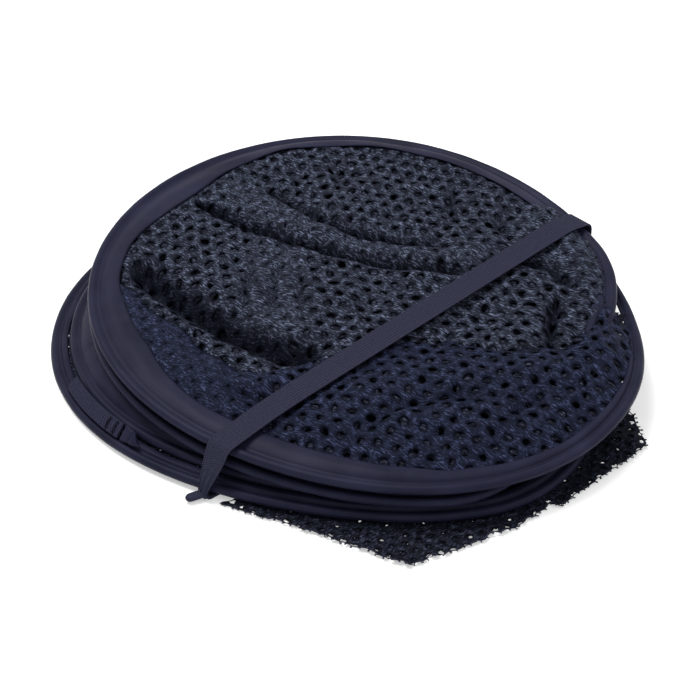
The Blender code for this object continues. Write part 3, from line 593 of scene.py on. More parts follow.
def makeCore(values):
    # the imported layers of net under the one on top: cells with strands along their walls
    made, nodes, links, shader = startMaterial("packedNetShaded", values["roughness"], values["specular"])
    space = nodes.new("ShaderNodeTexCoord")
    cells = nodes.new("ShaderNodeTexVoronoi")
    cells.feature = "DISTANCE_TO_EDGE"
    links.new(space.outputs["Object"], cells.inputs["Vector"])
    cells.inputs["Scale"].default_value = values["cells"]
    # painted shade: dark in each cell's middle, where a hole would show the depths
    wall = mathNode(nodes, links, "SUBTRACT", values["wall"], cells.outputs["Distance"])
    place = space.outputs["Object"]
    strands = placeGroup(nodes, links, netStrandGlints, Flat=place, Vector=place, Turn=0.6)
    # painted glints on the strands, over a base tone
    lit = mathNode(nodes, links, "ADD", strands.outputs["Mask"], values["base"])
    shade = mathNode(nodes, links, "MULTIPLY", lit, mathNode(nodes, links, "MULTIPLY", wall, 3.6))
    links.new(blendColours(nodes, links, shade, values["dark"], values["light"], 0.0, 1.0),
              shader.inputs["Base Color"])
    addBump(nodes, links, shader, wall, 0.8, 0.0012)
    return made


# darker copies of the net for the front, flap, under and packed layers: painted shade
underNetShadedFinish = makeNet("navyHoneycombNetUnderShaded", netValues["under"], 0.5)
upperNetFinish = makeNet("navyHoneycombNet", netValues["upper"], 0.30)
frontNetShadedFinish = makeNet("navyHoneycombNetFrontShaded", netValues["front"], 0.30)
looseNetShadedFinish = makeNet("navyHoneycombNetFlapShaded", netValues["loose"], -0.4)
packedNetShaded = makeCore(netValues["packed"])

# for each strap, dark and light span the painted shade of its weave's hollows and its lighter tops
strapValues = dict(
    band=dict(dark=(0.0024, 0.0028, 0.0085), light=(0.0340, 0.0360, 0.0640),
              roughness=0.65, specular=0.05, along=6200.0, across=2262.0),
    webbing=dict(dark=(0.0020, 0.0024, 0.0080), light=(0.0340, 0.0360, 0.0660),
                 roughness=0.65, specular=0.06, along=3393.0, across=3500.0),
    thread=dict(dark=(0.0060, 0.0065, 0.0160), light=(0.0300, 0.0310, 0.0560),
                roughness=0.60, specular=0.12, along=9000.0, across=9000.0),
)


def makeWoven(name, values):
    made, nodes, links, shader = startMaterial(name, values["roughness"], values["specular"])
    flat, space = nodes.new("ShaderNodeUVMap"), nodes.new("ShaderNodeTexCoord")
    weave = placeGroup(nodes, links, wovenThreads, Vector=flat.outputs["UV"],
                       Along=values["along"], Across=values["across"])
    mottle = placeGroup(nodes, links, softMottle, Vector=space.outputs["Object"], Broad=70.0, Fine=1800.0)
    # painted light and shade: the weave's tops lighter and its hollows darker, mixed with the threads' own
    # random grain
    mix = mathNode(nodes, links, "ADD", mathNode(nodes, links, "MULTIPLY", weave.outputs["Height"], 0.5),
                   mathNode(nodes, links, "MULTIPLY", mottle.outputs["Grain"], 0.7))
    links.new(blendColours(nodes, links, mix, values["dark"], values["light"], 0.2, 0.8),
              shader.inputs["Base Color"])
    first = addBump(nodes, links, shader, weave.outputs["Height"], 0.7, 0.00020)
    addBump(nodes, links, shader, mottle.outputs["Grain"], 0.3, 0.00015, first)
    return made


bandFinish = makeWoven("navyRibbedElastic", strapValues["band"])
webbingFinish = makeWoven("navyRibbedWebbing", strapValues["webbing"])
threadFinish = makeWoven("navyThread", strapValues["thread"])


def rimTable(coil, runs):
    # reach and height of the flange's edge for each whole degree round the coil's centre
    found = []
    for start, end in runs:
        steps = int((end - start) * 720)
        for i in range(steps + 1):
            edge = flangeEdge(coil, start + (end - start) * i / steps)
            offset = edge.xy - coil["centre"]
            found.append((math.degrees(math.atan2(offset.y, offset.x)) % 360.0, offset.length, edge.z))
    found.sort()
    found = [(found[-1][0] - 360.0, *found[-1][1:])] + found + [(found[0][0] + 360.0, *found[0][1:])]
    table, index = [], 0
    for angle in range(361):
        while index + 1 < len(found) - 1 and found[index + 1][0] < angle:
            index += 1
        first, second = found[index], found[index + 1]
        share = min(max((angle - first[0]) / max(second[0] - first[0], 1e-9), 0.0), 1.0)
        table.append([first[k] + (second[k] - first[k]) * share for k in (1, 2)])
    return table


def fromTable(table, angle):
    angle %= 360.0
    index = int(angle)
    share = angle - index
    return [table[index][k] * (1.0 - share) + table[(index + 1) % 360][k] * share for k in (0, 1)]


def inTurns(angle):
    return (angle - firstAngle) / 360.0


# the top net is held by the outer turn and, at the right, the innermost one; the others by their outer turn
upper, lower = coils["upper"], coils["lower"]
upperRim = rimTable(upper, [(inTurns(firstAngle), inTurns(322.0)), (2.0 + inTurns(340.0), 3.0)])
frontRim = rimTable(upper, [(inTurns(firstAngle), 1.0)])
lowerRim = rimTable(lower, [(inTurns(firstAngle), 1.0)])


def topPlane(x, y):
    return levelAt(upper, upper["turns"][0], Vector((x, y)))


def polar(coil, spot):
    offset = spot - coil["centre"]
    return math.degrees(math.atan2(offset.y, offset.x)) % 360.0, offset.length


# where the front panel is folded under: angle, and how far from the coil's centre
foldPoints = [
    (0, 0.110), (12, 0.118), (168, 0.118), (176, 0.110), (180, 0.102), (200, 0.083), (222, 0.076),
    (249, 0.047), (270, 0.036), (300, 0.037), (318, 0.048), (331, 0.078), (340, 0.096), (350, 0.104),
    (360, 0.110),
]


def foldReach(angle):
    for (a, first), (b, second) in zip(foldPoints, foldPoints[1:]):
        if a <= angle <= b:
            return first + (second - first) * smooth((angle - a) / (b - a))
    return 0.118


def nearestOn(line, spot):
    # the way from a line to a spot, the length of the line before its foot, and the whole length
    best = None
    done = 0.0
    for a, b in zip(line, line[1:]):
        run = b - a
        length = run.length
        share = min(max((spot - a).dot(run) / (length * length), 0.0), 1.0)
        foot = a + run * share
        away = spot - foot
        if best is None or away.length < best[0].length:
            best = (away, done + share * length)
        done += length
    return *best, done


def crease(points, depth, width, pull=0.45, taper=0.022):
    # a line in the coil's plane, in millimetres, that the net sinks in along
    line = [Vector((x / 1000.0, y / 1000.0)) for x, y in points]
    return dict(line=line, depth=depth, width=width, pull=pull, taper=taper)


upperCreases = [
    crease([(-84, 100), (-63, 85), (-46, 74), (-22, 61), (0, 52), (33, 44), (62, 40)], 0.0078, 0.0033),
    crease([(-46, 110), (-23, 86), (1, 70), (30, 62), (52, 60)], 0.0064, 0.0030),
    crease([(-99, 48), (-89, 35), (-69, 15), (-48, -2), (-28, -14), (-8, -16)], 0.0115, 0.0072, 0.35, 0.012),
    crease([(94, 27), (90, 5), (88, -15), (86, -30)], 0.0060, 0.0042, 0.5, 0.010),
    crease([(58, 48), (70, 51), (79, 51), (92, 44), (106, 30)], 0.0050, 0.0046, 0.4, 0.014),
    crease([(52, 105), (48, 88), (50, 72)], 0.0026, 0.0038, 0.4, 0.010),
    crease([(75, 86), (70, 74), (78, 62)], 0.0026, 0.0036, 0.4, 0.010),
    crease([(-8, 126), (-6, 112), (2, 98)], 0.0022, 0.0040, 0.4, 0.010),
    crease([(112, 58), (116, 40), (112, 14), (101, -4)], 0.0020, 0.0034, 0.4, 0.012),
    crease([(-20, 46), (-22, 28), (-20, 8)], 0.0024, 0.0028, 0.5, 0.012),
    crease([(-31, 48), (-34, 28), (-33, 6)], 0.0026, 0.0028, 0.5, 0.012),
    crease([(-43, 48), (-46, 28), (-46, 10)], 0.0024, 0.0028, 0.5, 0.012),
]


def creased(spot, creases):
    # how deep the creases lie at a spot, and how far the cloth is drawn in toward them
    depth, drawn = 0.0, Vector((0.0, 0.0))
    for item in creases:
        offset, along, total = nearestOn(item["line"], spot)
        away = offset.length
        if away > 4.0 * item["width"]:
            continue
        fade = smooth(along / item["taper"]) * smooth((total - along) / item["taper"])
        depth = max(depth, item["depth"] * fade * bump(away, item["width"]))
        drawn -= offset * item["pull"] * fade * bump(away, 1.6 * item["width"])
    return depth, drawn


def ruffle(spot, scale, seed):
    return noise.noise(Vector((spot.x * scale, spot.y * scale, seed)))


def ridge(spot, scale, seed):
    return 1.0 - 2.0 * abs(noise.noise(Vector((spot.x * scale, spot.y * scale, seed))))


def underBand(spot):
    return bump((spot - bandPoint).dot(bandAcross), bandWidth)


# how the nets lie: how far under the flange's edge, how high they rise, how much the band holds them down
netLie = dict(
    sunk=0.0008, held=0.6, hump=0.0050, humpHeld=0.85, wideFrom=0.008, wideOver=0.025, wideRise=0.0032,
    narrowRise=0.0016, frontEase=0.012, upperEase=0.020, upperRise=0.0026, outward=0.30, under=0.0050,
)


def frontHeight(spot):
    angle, reach = polar(upper, spot)
    rimReach, rimHeight = fromTable(frontRim, angle)
    fold = foldReach(angle)
    share = min(max((rimReach - reach) / max(rimReach - fold, 1e-4), -0.2), 1.0)
    base = topPlane(spot.x, spot.y)
    edge = rimHeight - topPlane(*(upper["centre"] + direction(angle) * rimReach))
    wide = smooth((rimReach - fold - netLie["wideFrom"]) / netLie["wideOver"])
    hump = netLie["hump"] * math.sin(math.pi * max(share, 0.0)) \
        * (1.0 - netLie["humpHeld"] * underBand(spot)) * wide
    inner = netLie["wideRise"] * wide + netLie["narrowRise"] * (1.0 - wide)
    rise = (edge - netLie["sunk"]) * (1.0 - share) + inner * share + hump
    loose = smooth((rimReach - reach) / netLie["frontEase"]) * (1.0 - netLie["held"] * underBand(spot))
    broad, ridges, fine = ruffle(spot, 45.0, 2.0), ridge(spot, 70.0, 5.0), ruffle(spot, 150.0, 8.0)
    return base + (rise + loose * (0.0012 * broad + 0.0010 * ridges + 0.0008 * fine))


def underFront(angle):
    # whether the top net goes on under the front panel there
    return 165.0 < angle < 352.0


def upperHeight(spot, fine=1.0):
    angle, reach = polar(upper, spot)
    rimReach, rimHeight = fromTable(upperRim, angle)
    rimSpot = upper["centre"] + direction(angle) * rimReach
    edge = rimHeight - topPlane(rimSpot.x, rimSpot.y)
    inner = smooth((rimReach - reach) / netLie["upperEase"])
    base = topPlane(spot.x, spot.y) + (edge - netLie["sunk"]) * (1.0 - inner) + netLie["upperRise"] * inner
    loose = inner * (1.0 - netLie["held"] * underBand(spot))
    broad, ridges, small = ruffle(spot, 32.0, 21.0), ridge(spot, 58.0, 25.0), ruffle(spot, 150.0, 28.0)
    base += loose * (0.0018 * broad + 0.0015 * ridges * fine + 0.0009 * small * fine)
    fold = foldReach(angle)
    under = smooth((reach - fold + 0.004) / 0.007)
    if under > 0.0 and underFront(angle):
        base = base * (1.0 - under) + min(base, frontHeight(spot) - netLie["under"]) * under
    if reach > rimReach:
        base -= (reach - rimReach) * netLie["outward"]
    over = overRim(angle)
    if over > 0.0:
        near = smooth((reach - rimReach + 0.010) / 0.010)
        base += over * near * (0.0026 + 0.0005 * ruffle(spot, 120.0, 33.0))
    return base


def repeat(shape, steps):
    # a copy of the whole shape at each step from it
    whole = shape.verts[:] + shape.edges[:] + shape.faces[:]
    for step in steps:
        made = bmesh.ops.duplicate(shape, geom=whole)
        copied = [item for item in made["geom"] if isinstance(item, bmesh.types.BMVert)]
        bmesh.ops.translate(shape, verts=copied, vec=step)


def honeycomb(pitch, hole, reach, keep, openness, dip=0.0005):
    # flat net of six-sided cells round the origin: each hole dips at its edge and is as large as openness
    # says, and the cloth's own coordinates and how far each point is from a hole's edge go with it
    shape = bmesh.new()
    flat = shape.loops.layers.uv.new("UVMap")
    # the edge value also drives painted shade toward each hole's edge in the net's colour
    edge, offset = shape.verts.layers.float.new("edge"), shape.verts.layers.float_vector.new("offset")
    bmesh.ops.create_circle(shape, cap_ends=True, segments=12, radius=pitch / math.sqrt(3.0))
    for vert in shape.verts:
        if round(math.degrees(math.atan2(vert.co.y, vert.co.x)) / 30.0) % 2 == 0:
            vert.co *= math.sqrt(3.0) / 2.0
        vert[edge] = 1.0
    wall = (pitch - hole) / 2.0
    for part in (0.45, 1.0):
        middle = max(shape.faces, key=lambda face: len(face.verts))
        bmesh.ops.inset_individual(shape, faces=[middle], thickness=wall * 0.4)
        middle = max(shape.faces, key=lambda face: len(face.verts))
        for vert in middle.verts:
            rounded = vert.co.xy.normalized() * (hole / 2.0 + wall * (1.0 - part))
            vert.co = (rounded.x, rounded.y, 0.0)
            vert[edge] = 0.65 if part < 1.0 else 0.0
    for vert in shape.verts:
        vert[offset] = vert.co
    bmesh.ops.delete(shape, geom=[middle], context="FACES_ONLY")
    rowStep = pitch * math.sqrt(3.0) / 2.0
    columns, rows = int(2.0 * reach / pitch) + 2, int(2.0 * reach / rowStep) + 2
    repeat(shape, [(pitch * i, 0.0, 0.0) for i in range(1, columns)])
    repeat(shape, [(pitch * 0.5 * (i % 2), rowStep * i, 0.0) for i in range(1, rows)])
    corner = (-pitch * (columns - 1) / 2.0, -rowStep * (rows - 1) / 2.0, 0.0)
    bmesh.ops.translate(shape, verts=shape.verts, vec=corner)
    far = [vert for vert in shape.verts if not keep(vert.co.xy)]
    bmesh.ops.delete(shape, geom=far, context="VERTS")
    for vert in shape.verts:
        inward = 1.0 - vert[edge]
        if inward > 0.0:
            centre = vert.co - vert[offset]
            size = openness(centre.xy) * (1.0 + 0.28 * ruffle(centre, 400.0, 7.0))
            lean = 0.30 * ruffle(centre, 500.0, 17.0)
            share = 1.0 - (1.0 - min(max(size, 0.08), 1.25)) * inward
            wider, narrower = share * (1.0 + lean * inward), share * (1.0 - lean * inward)
            vert.co = centre + Vector((vert[offset].x * wider, vert[offset].y * narrower, 0.0))
            vert.co.z = -dip * inward * min(max(size, 0.2), 1.0)
    bmesh.ops.remove_doubles(shape, verts=shape.verts, dist=pitch * 0.02)
    for face in shape.faces:
        for loop in face.loops:
            loop[flat].uv = loop.vert.co.xy
    return shape


def fullyOpen(spot):
    return 1.0


def unevenly(spot, amount, seed):
    return Vector((ruffle(spot, 160.0, seed), ruffle(spot, 160.0, seed + 3.0))) * amount


def frayed(spot, size, seed):
    return unevenly(spot, size["uneven"], seed) + unevenly(spot * 4.0, size["fray"], seed + 9.0)


def netArea(shape):
    return sum(face.calc_area() for face in shape.faces)


def overRim(angle):
    # 1 where the top net bulges out over the flange, as far as the piped edge
    angle = (angle + 90.0) % 360.0 - 90.0
    return window(angle, -12.0, -4.0) * (1.0 - window(angle, 34.0, 44.0))


def turnedBy(spot, degrees):
    return Matrix.Rotation(math.radians(degrees), 2) @ spot


netReach = 0.150                         # half the width of the flat net that each panel is cut from
upperNetSize = dict(tuck=0.0030, bulge=0.0045, under=0.012, uneven=0.0013, fray=0.0005, gather=0.12,
                    crowded=0.80, shadeFullDepth=0.0042, edgeEase=0.006, flat=(0.26, 0.26))
upperLayers = [
    dict(name="upperNet", pitch=0.0078, hole=0.0036, thickness=0.00045,
         turned=-13.0, drop=0.0, seed=31.0),
    dict(name="upperUnderNet", pitch=0.0074, hole=0.0042, thickness=0.00040,
         turned=9.0, drop=0.0010, seed=131.0),
]
crowded = [                              # where the cloth lies bunched, so that its holes are nearly closed
    dict(line=[Vector((-0.050, 0.096)), Vector((-0.010, 0.068)), Vector((0.030, 0.055))], width=0.011),
    dict(line=[Vector((-0.034, 0.050)), Vector((-0.034, 0.010))], width=0.015),
    dict(line=[Vector((0.050, 0.055)), Vector((0.105, 0.048))], width=0.006),
    dict(line=[Vector((0.086, 0.075)), Vector((0.112, 0.040))], width=0.008),
]


def crowding(spot):
    found = 0.0
    for item in crowded:
        away = nearestOn(item["line"], spot)[0].length
        found = max(found, 1.0 - smooth((away - 0.5 * item["width"]) / item["width"]))
    return found


def makeUpperNet(layer, finish):
    size = upperNetSize

    def lay(spot):
        spot = turnedBy(spot, layer["turned"])
        back = smooth((spot.y + 0.030) / 0.110)
        return Vector((spot.x * (1.0 - size["gather"] * back), spot.y)) + upper["centre"]

    def keep(spot):
        angle, reach = polar(upper, lay(spot))
        rim = fromTable(upperRim, angle)[0]
        if reach > rim + size["tuck"] + size["bulge"] * overRim(angle) - layer["drop"]:
            return False
        return not underFront(angle) or reach < foldReach(angle) + size["under"]

    def openness(spot):
        return 1.0 - size["crowded"] * crowding(lay(spot))

    shape = honeycomb(layer["pitch"], layer["hole"], netReach, keep, openness)
    area = netArea(shape)
    # fold: crease depth, stored for painted shade in the creases
    fold = shape.verts.layers.float.new("fold")
    for vert in shape.verts:
        spot = lay(vert.co.xy)
        lift = vert.co.z
        spot += frayed(spot, size, layer["seed"])
        depth, drawn = creased(spot, upperCreases)
        place = spot + drawn
        angle, reach = polar(upper, place)
        inner = smooth((fromTable(upperRim, angle)[0] - reach) / size["edgeEase"])
        sunk = layer["drop"] * (0.5 + 0.5 * inner) * (1.0 + 0.6 * ruffle(place, 140.0, layer["seed"] + 5.0))
        vert.co = (place.x, place.y, upperHeight(place) - depth * inner + lift - sunk)
        # painted shade in the creases, full at the given depth
        vert[fold] = min(depth * inner / size["shadeFullDepth"], 1.0)
    piece = newPiece(layer["name"], shape, finish, "upper_coil")
    thicken(piece, layer["thickness"])
    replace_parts(piece, "upper_mesh_panel")


for layer, finish in zip(upperLayers, (upperNetFinish, underNetShadedFinish)):
    makeUpperNet(layer, finish)

frontNetSize = dict(bulge=0.0024, tuck=0.0030, curl=0.0014, under=0.010, uneven=0.0012, fray=0.0004,
                    crowded=0.80, shadeFullDepth=0.0050, turnedUnderShade=0.8, sinking=0.10, flat=(0.24, 0.13))
frontLayers = [
    dict(name="frontNet", pitch=0.0078, hole=0.0034, thickness=0.00045,
         turned=-16.0, drop=0.0, seed=41.0),
    dict(name="frontUnderNet", pitch=0.0074, hole=0.0040, thickness=0.00040,
         turned=6.0, drop=0.0010, seed=141.0),
]
frontCreases = [
    crease([(-62, -38), (-40, -46), (-18, -50)], 0.0020, 0.0040, 0.4, 0.012),
    crease([(0, -70), (20, -52), (48, -44), (70, -46)], 0.0022, 0.0050, 0.4, 0.016),
    crease([(88, -36), (78, -48), (64, -58)], 0.0020, 0.0040, 0.4, 0.012),
]


def makeFrontNet(layer, finish):
    size = frontNetSize

    def lay(spot):
        return turnedBy(spot, layer["turned"]) + upper["centre"]

    def keep(spot):
        angle, reach = polar(upper, lay(spot))
        if angle < 176.0 or angle > 357.0:
            return False
        rim = fromTable(frontRim, angle)[0] + size["tuck"] - layer["drop"]
        return foldReach(angle) - size["curl"] * math.pi - size["under"] < reach < rim

    def openness(spot):
        # bunched into a narrow strip at the left
        angle, _ = polar(upper, lay(spot))
        return 1.0 - size["crowded"] * (1.0 - window(angle, 222.0, 246.0))

    shape = honeycomb(layer["pitch"], layer["hole"], netReach, keep, openness)
    area = netArea(shape)
    folded = shape.verts.layers.float.new("fold")
    for vert in shape.verts:
        spot = lay(vert.co.xy)
        lift = vert.co.z - layer["drop"] * (1.0 + 0.5 * ruffle(spot, 140.0, layer["seed"] + 5.0))
        spot += frayed(spot, size, layer["seed"])
        depth, drawn = creased(spot, frontCreases)
        depth -= lift
        place = spot + drawn
        angle, reach = polar(upper, place)
        fold = foldReach(angle)
        # painted shade in the creases, and a fixed painted shade on the part turned under the fold
        vert[folded] = min(max(depth, 0.0) / size["shadeFullDepth"], 1.0) if reach >= fold else size["turnedUnderShade"]
        rimReach = fromTable(frontRim, angle)[0]
        heading = (place - upper["centre"]).normalized()
        if reach >= fold:
            height = frontHeight(place) - depth
            height += size["bulge"] * window(angle, 336.0, 345.0) * smooth((reach - rimReach + 0.026) / 0.012)
            if reach > rimReach:
                height -= (reach - rimReach) * netLie["outward"]
            vert.co = (place.x, place.y, height)
        else:
            past = fold - reach
            bent = min(past / size["curl"], math.pi)
            beyond = max(past - size["curl"] * math.pi, 0.0)
            back = upper["centre"] + heading * (fold - size["curl"] * math.sin(bent) + beyond)
            height = frontHeight(upper["centre"] + heading * fold) - size["curl"] * (1.0 - math.cos(bent))
            height -= size["sinking"] * beyond
            vert.co = (back.x, back.y, height)
    piece = newPiece(layer["name"], shape, finish, "upper_coil")
    thicken(piece, layer["thickness"])
    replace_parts(piece, "front_mesh_panel")


for layer, finish in zip(frontLayers, (frontNetShadedFinish, underNetShadedFinish)):
    makeFrontNet(layer, finish)

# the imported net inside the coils
core = dict(
    around=200, across=64, spacing=1.3, fill=0.3, underNet=0.0022, overTurns=0.0009, ply=0.0008, gap=0.0003,
    side=0.0030, underFlange=0.0055, underFold=0.0002, overFold=0.0010, clear=0.001, ease=0.006,
    lowerTuck=0.0006, lowerFloor=0.0013, lowerEdge=0.0005, lowerUneven=0.0008, edgeGap=0.0010, swellOver=0.20,
)
middleRims = [rimTable(lower, [(float(count), count + 1.0)]) for count in (1, 2)]
upperMiddleRims = [rimTable(upper, [(float(count), count + 1.0)]) for count in (1, 2)]


def insideOf(rims, angle):
    return min(fromTable(table, angle)[0] for table in rims)


def parting(spot):
    return 0.5 * (topPlane(spot.x, spot.y) - stackPitch * 0.6)


def lowerTop(spot):
    angle, reach = polar(lower, spot)
    if reach < insideOf(middleRims, angle) - core["clear"]:
        return 0.0
    place = inTurns(angle)
    return max(pathAt(lower, count + place)[0].z for count in range(3)) + 0.6 * (pipeRadius + 0.0135)


def closedShell(place):
    # a flat grid bent round the coil's centre: its first half is the top, from the middle out, and its second
    # the underside
    shape, flat = startGrid(core["around"], 2 * core["across"])
    for vert in shape.verts:
        angle = 360.0 * ((vert.co.x + 0.5) % 1.0)
        share = (vert.co.y + 0.5) * 2.0
        vert.co = place(angle, share if share <= 1.0 else 2.0 - share, share <= 1.0)
    return closeSkin(shape, flat, 1.0, 1.0, False)


def makeUpperCore():
    def place(angle, share, top):
        rim = fromTable(upperRim, angle)[0] + core["underFlange"]
        keel = min(insideOf(upperMiddleRims, angle) - core["clear"], rim - core["side"])
        reach = rim * (1.0 - (1.0 - min(share, 1.0)) ** core["spacing"])
        spot = upper["centre"] + direction(angle) * reach
        covered = smooth((reach - foldReach(angle)) / core["ease"]) if underFront(angle) else 0.0
        depth = creased(spot, upperCreases)[0]
        inner = smooth((rim - reach) / core["ease"])
        over = smooth((reach - keel) / core["ease"])
        high = upperHeight(spot, 0.5) - depth * inner
        high = high - core["underNet"] * (1.0 - over) - core["overTurns"] * over
        plane = topPlane(spot.x, spot.y)
        folded = min(frontHeight(spot) - core["underNet"], plane + core["overFold"])
        folded = folded * (1.0 - over) + (plane - core["underFold"]) * over
        high = high * (1.0 - covered) + folded * covered
        if top:
            return spot.x, spot.y, high
        if reach > keel:
            low = high - core["ply"]
        else:
            low = min(max(parting(spot), lowerTop(spot)) + core["gap"], high - core["ply"])
        return spot.x, spot.y, low

    piece = newPiece("upperPackedNet", closedShell(place), packedNetShaded, "upper_coil")
    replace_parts(piece, "upper_mesh_panel")


def makeLowerCore():
    def place(angle, share, top):
        rims = [fromTable(table, angle) for table in middleRims]
        rimReach, rimHeight = min(rims, key=lambda pair: pair[0])
        reach = (rimReach - core["lowerTuck"]) * (1.0 - (1.0 - share) ** core["spacing"])
        spot = lower["centre"] + direction(angle) * reach
        high = parting(spot) - core["gap"]
        low = restHeight(spot) + core["lowerFloor"]
        swell = smooth((rimReach - reach) / (core["swellOver"] * rimReach))
        edge = min(rimHeight, high - core["edgeGap"])
        uneven = swell * core["lowerUneven"] * ruffle(spot, 60.0, 51.0)
        if top:
            height = (edge + core["lowerEdge"]) * (1.0 - swell) + high * swell + min(uneven, 0.0)
        else:
            height = (edge - core["lowerEdge"]) * (1.0 - swell) + low * swell + max(uneven, 0.0)
        return spot.x, spot.y, height

    piece = newPiece("lowerPackedNet", closedShell(place), packedNetShaded, "lower_coil")
    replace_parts(piece, "lower_mesh_panel")


makeUpperCore()
makeLowerCore()

lowerNetSize = dict(reach=0.155, tuck=0.0025, low=0.0006, sunk=0.0010, ease=0.010, dip=0.0001,
                    flat=(0.27, 0.25))
lowerLayers = [
    dict(name="lowerNet", pitch=0.0078, hole=0.0028, thickness=0.00040, turned=-20.0, lift=0.0),
    dict(name="lowerInnerNet", pitch=0.0074, hole=0.0028, thickness=0.00040, turned=11.0, lift=0.0009),
]


def makeLowerNet(layer):
    # the lower coil's net: from its outer turn's flange down to the floor, and flat under everything
    size = lowerNetSize

    def lay(spot):
        return turnedBy(spot, layer["turned"]) + lower["centre"]

    def keep(spot):
        angle, reach = polar(lower, lay(spot))
        return reach < fromTable(lowerRim, angle)[0] + size["tuck"] - layer["lift"]

    shape = honeycomb(layer["pitch"], layer["hole"], size["reach"], keep, fullyOpen, size["dip"])
    area = netArea(shape)
    for vert in shape.verts:
        spot = lay(vert.co.xy)
        angle, reach = polar(lower, spot)
        rimReach, rimHeight = fromTable(lowerRim, angle)
        low = restHeight(spot) + size["low"] + layer["lift"]
        share = smooth((reach - rimReach + size["ease"]) / size["ease"])
        height = low * (1.0 - share) + (rimHeight - size["sunk"]) * share
        vert.co = (spot.x, spot.y, height + vert.co.z)
    piece = newPiece(layer["name"], shape, underNetShadedFinish, "lower_coil")
    thicken(piece, layer["thickness"])
    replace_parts(piece, "lower_mesh_panel")


for layer in lowerLayers:
    makeLowerNet(layer)

# loose panel on the floor, with its two free corners
panel = dict(
    pitch=0.0058, hole=0.0025, thickness=0.00035, turned=20.0, uneven=0.0010, margin=0.0015, wander=0.0016,
    low=0.00035, wave=0.0030, fine=0.0008, ownShare=0.32,
    fringeStep=0.00035, fringeLoop=0.0034, fringeAlong=0.0009, fringeOut=0.0007, fringeLift=0.0003,
    fringeRadius=0.00024, underTurned=47.0, underHole=0.0016, underInset=0.0015, underReach=0.012,
    underHeight=0.0006, bend=0.006, frontTip=Vector((0.025, -0.1215)), frontSpan=(0.045, 0.044),
    rightTip=Vector((0.1285, -0.0465)), rightSpan=(0.054, 0.016), rightFacing=-35.0, rightStart=0.0040,
    left=0.1115, hidden=0.085, gap=0.0020, tuck=Vector((0.026, -0.022)), back=Vector((-0.004, 0.020)),
)


def coilReach(coil, heading):
    facing = direction(heading)
    return max(Vector(pathAt(coil, count / 72)[0].xy).dot(facing) for count in range(216)) + pipeRadius


def panelLines():
    # the two ends of the line that each free corner is cut off along
    frontY = -coilReach(lower, 270.0) - panel["margin"]
    tip = panel["frontTip"]
    facing = direction(panel["rightFacing"])
    foot = facing * (coilReach(lower, panel["rightFacing"]) + panel["margin"])
    along = Vector((-facing.y, facing.x))
    middle = foot + along * (panel["rightTip"] - foot).dot(along)
    before, after = panel["frontSpan"]
    front = Vector((tip.x - before, frontY)), Vector((tip.x + after, frontY))
    before, after = panel["rightSpan"]
    return front, (middle - along * before, middle + along * after)


(frontStart, frontEnd), (rightStart, rightEnd) = panelLines()
beside = bandPoint + bandAcross * (bandWidth / 2.0 + panel["gap"])
panelLeft, panelHidden = beside - bandAlong * panel["left"], beside + bandAlong * panel["hidden"]
facingRight = direction(panel["rightFacing"])
frontOutline = [frontStart, panel["frontTip"], frontEnd]
rightOutline = [rightStart, rightStart + facingRight * panel["rightStart"], panel["rightTip"], rightEnd]
panelOutlines = dict(
    middle=[panelLeft, frontStart, frontEnd, rightStart, rightEnd, rightEnd + panel["back"],
            panelHidden + panel["tuck"], panelHidden],
    front=frontOutline,
    right=rightOutline,
)
panelFolds = dict(front=(frontStart, Vector((0.0, -1.0))), right=(rightStart, facingRight))


def insidePolygon(spot, outline):
    found = False
    for a, b in zip(outline, outline[1:] + outline[:1]):
        crosses = (a.y > spot.y) != (b.y > spot.y)
        if crosses and spot.x < (b.x - a.x) * (spot.y - a.y) / (b.y - a.y) + a.x:
            found = not found
    return found


def panelPart(spot):
    if spot.y < frontStart.y:
        return "front"
    return "right" if (spot - rightStart).dot(facingRight) > 0.0 else "middle"


def wanderAt(spot):
    # how far the raw edge strays from its outline
    return Vector((ruffle(spot, 190.0, 61.0), ruffle(spot, 190.0, 64.0))) * panel["wander"]


def inPanel(spot):
    moved = spot + wanderAt(spot)
    return any(insidePolygon(moved, outline) for outline in panelOutlines.values())


def nearPanel(spot, reach):
    return any(inPanel(spot + direction(60.0 * step) * reach) for step in range(6))


def panelHeight(spot):
    angle, reach = polar(lower, spot)
    loose = smooth((reach - fromTable(lowerOuterRim, angle)[0]) / 0.010)
    wave = 0.5 + 0.5 * ruffle(spot, 85.0, 71.0)
    fine = 0.5 + 0.5 * ruffle(spot, 210.0, 75.0)
    return panel["low"] + loose * (panel["wave"] * wave ** 2 + panel["fine"] * fine)


lowerOuterRim = []
for degree in range(361):
    outward = pathAt(lower, inTurns(degree) % 1.0)[0].xy - lower["centre"]
    lowerOuterRim.append([outward.length + pipeRadius, 0.0])
lowerOuterRim[360] = lowerOuterRim[0]


def threadTube(name, spots, radius, finish, body):
    # a thread along spots, as a mesh
    curve = bpy.data.curves.new(name + "Path", "CURVE")
    curve.dimensions = "3D"
    curve.bevel_depth = radius
    curve.bevel_resolution = 1
    curve.use_fill_caps = True
    line = curve.splines.new("POLY")
    line.points.add(len(spots) - 1)
    for point, spot in zip(line.points, spots):
        point.co = (*spot, 1.0)
    carrier = bpy.data.objects.new(name + "Path", curve)
    bpy.context.scene.collection.objects.link(carrier)
    made = bpy.data.meshes.new_from_object(carrier)
    shape = bmesh.new()
    shape.from_mesh(made)
    bpy.data.objects.remove(carrier)
    bpy.data.curves.remove(curve)
    bpy.data.meshes.remove(made)
    flat = shape.loops.layers.uv.verify()
    for face in shape.faces:
        for loop in face.loops:
            loop[flat].uv = (loop.vert.co.x, loop.vert.co.y)
    bmesh.ops.remove_doubles(shape, verts=shape.verts, dist=1e-7)
    return newPiece(name, shape, finish, body)


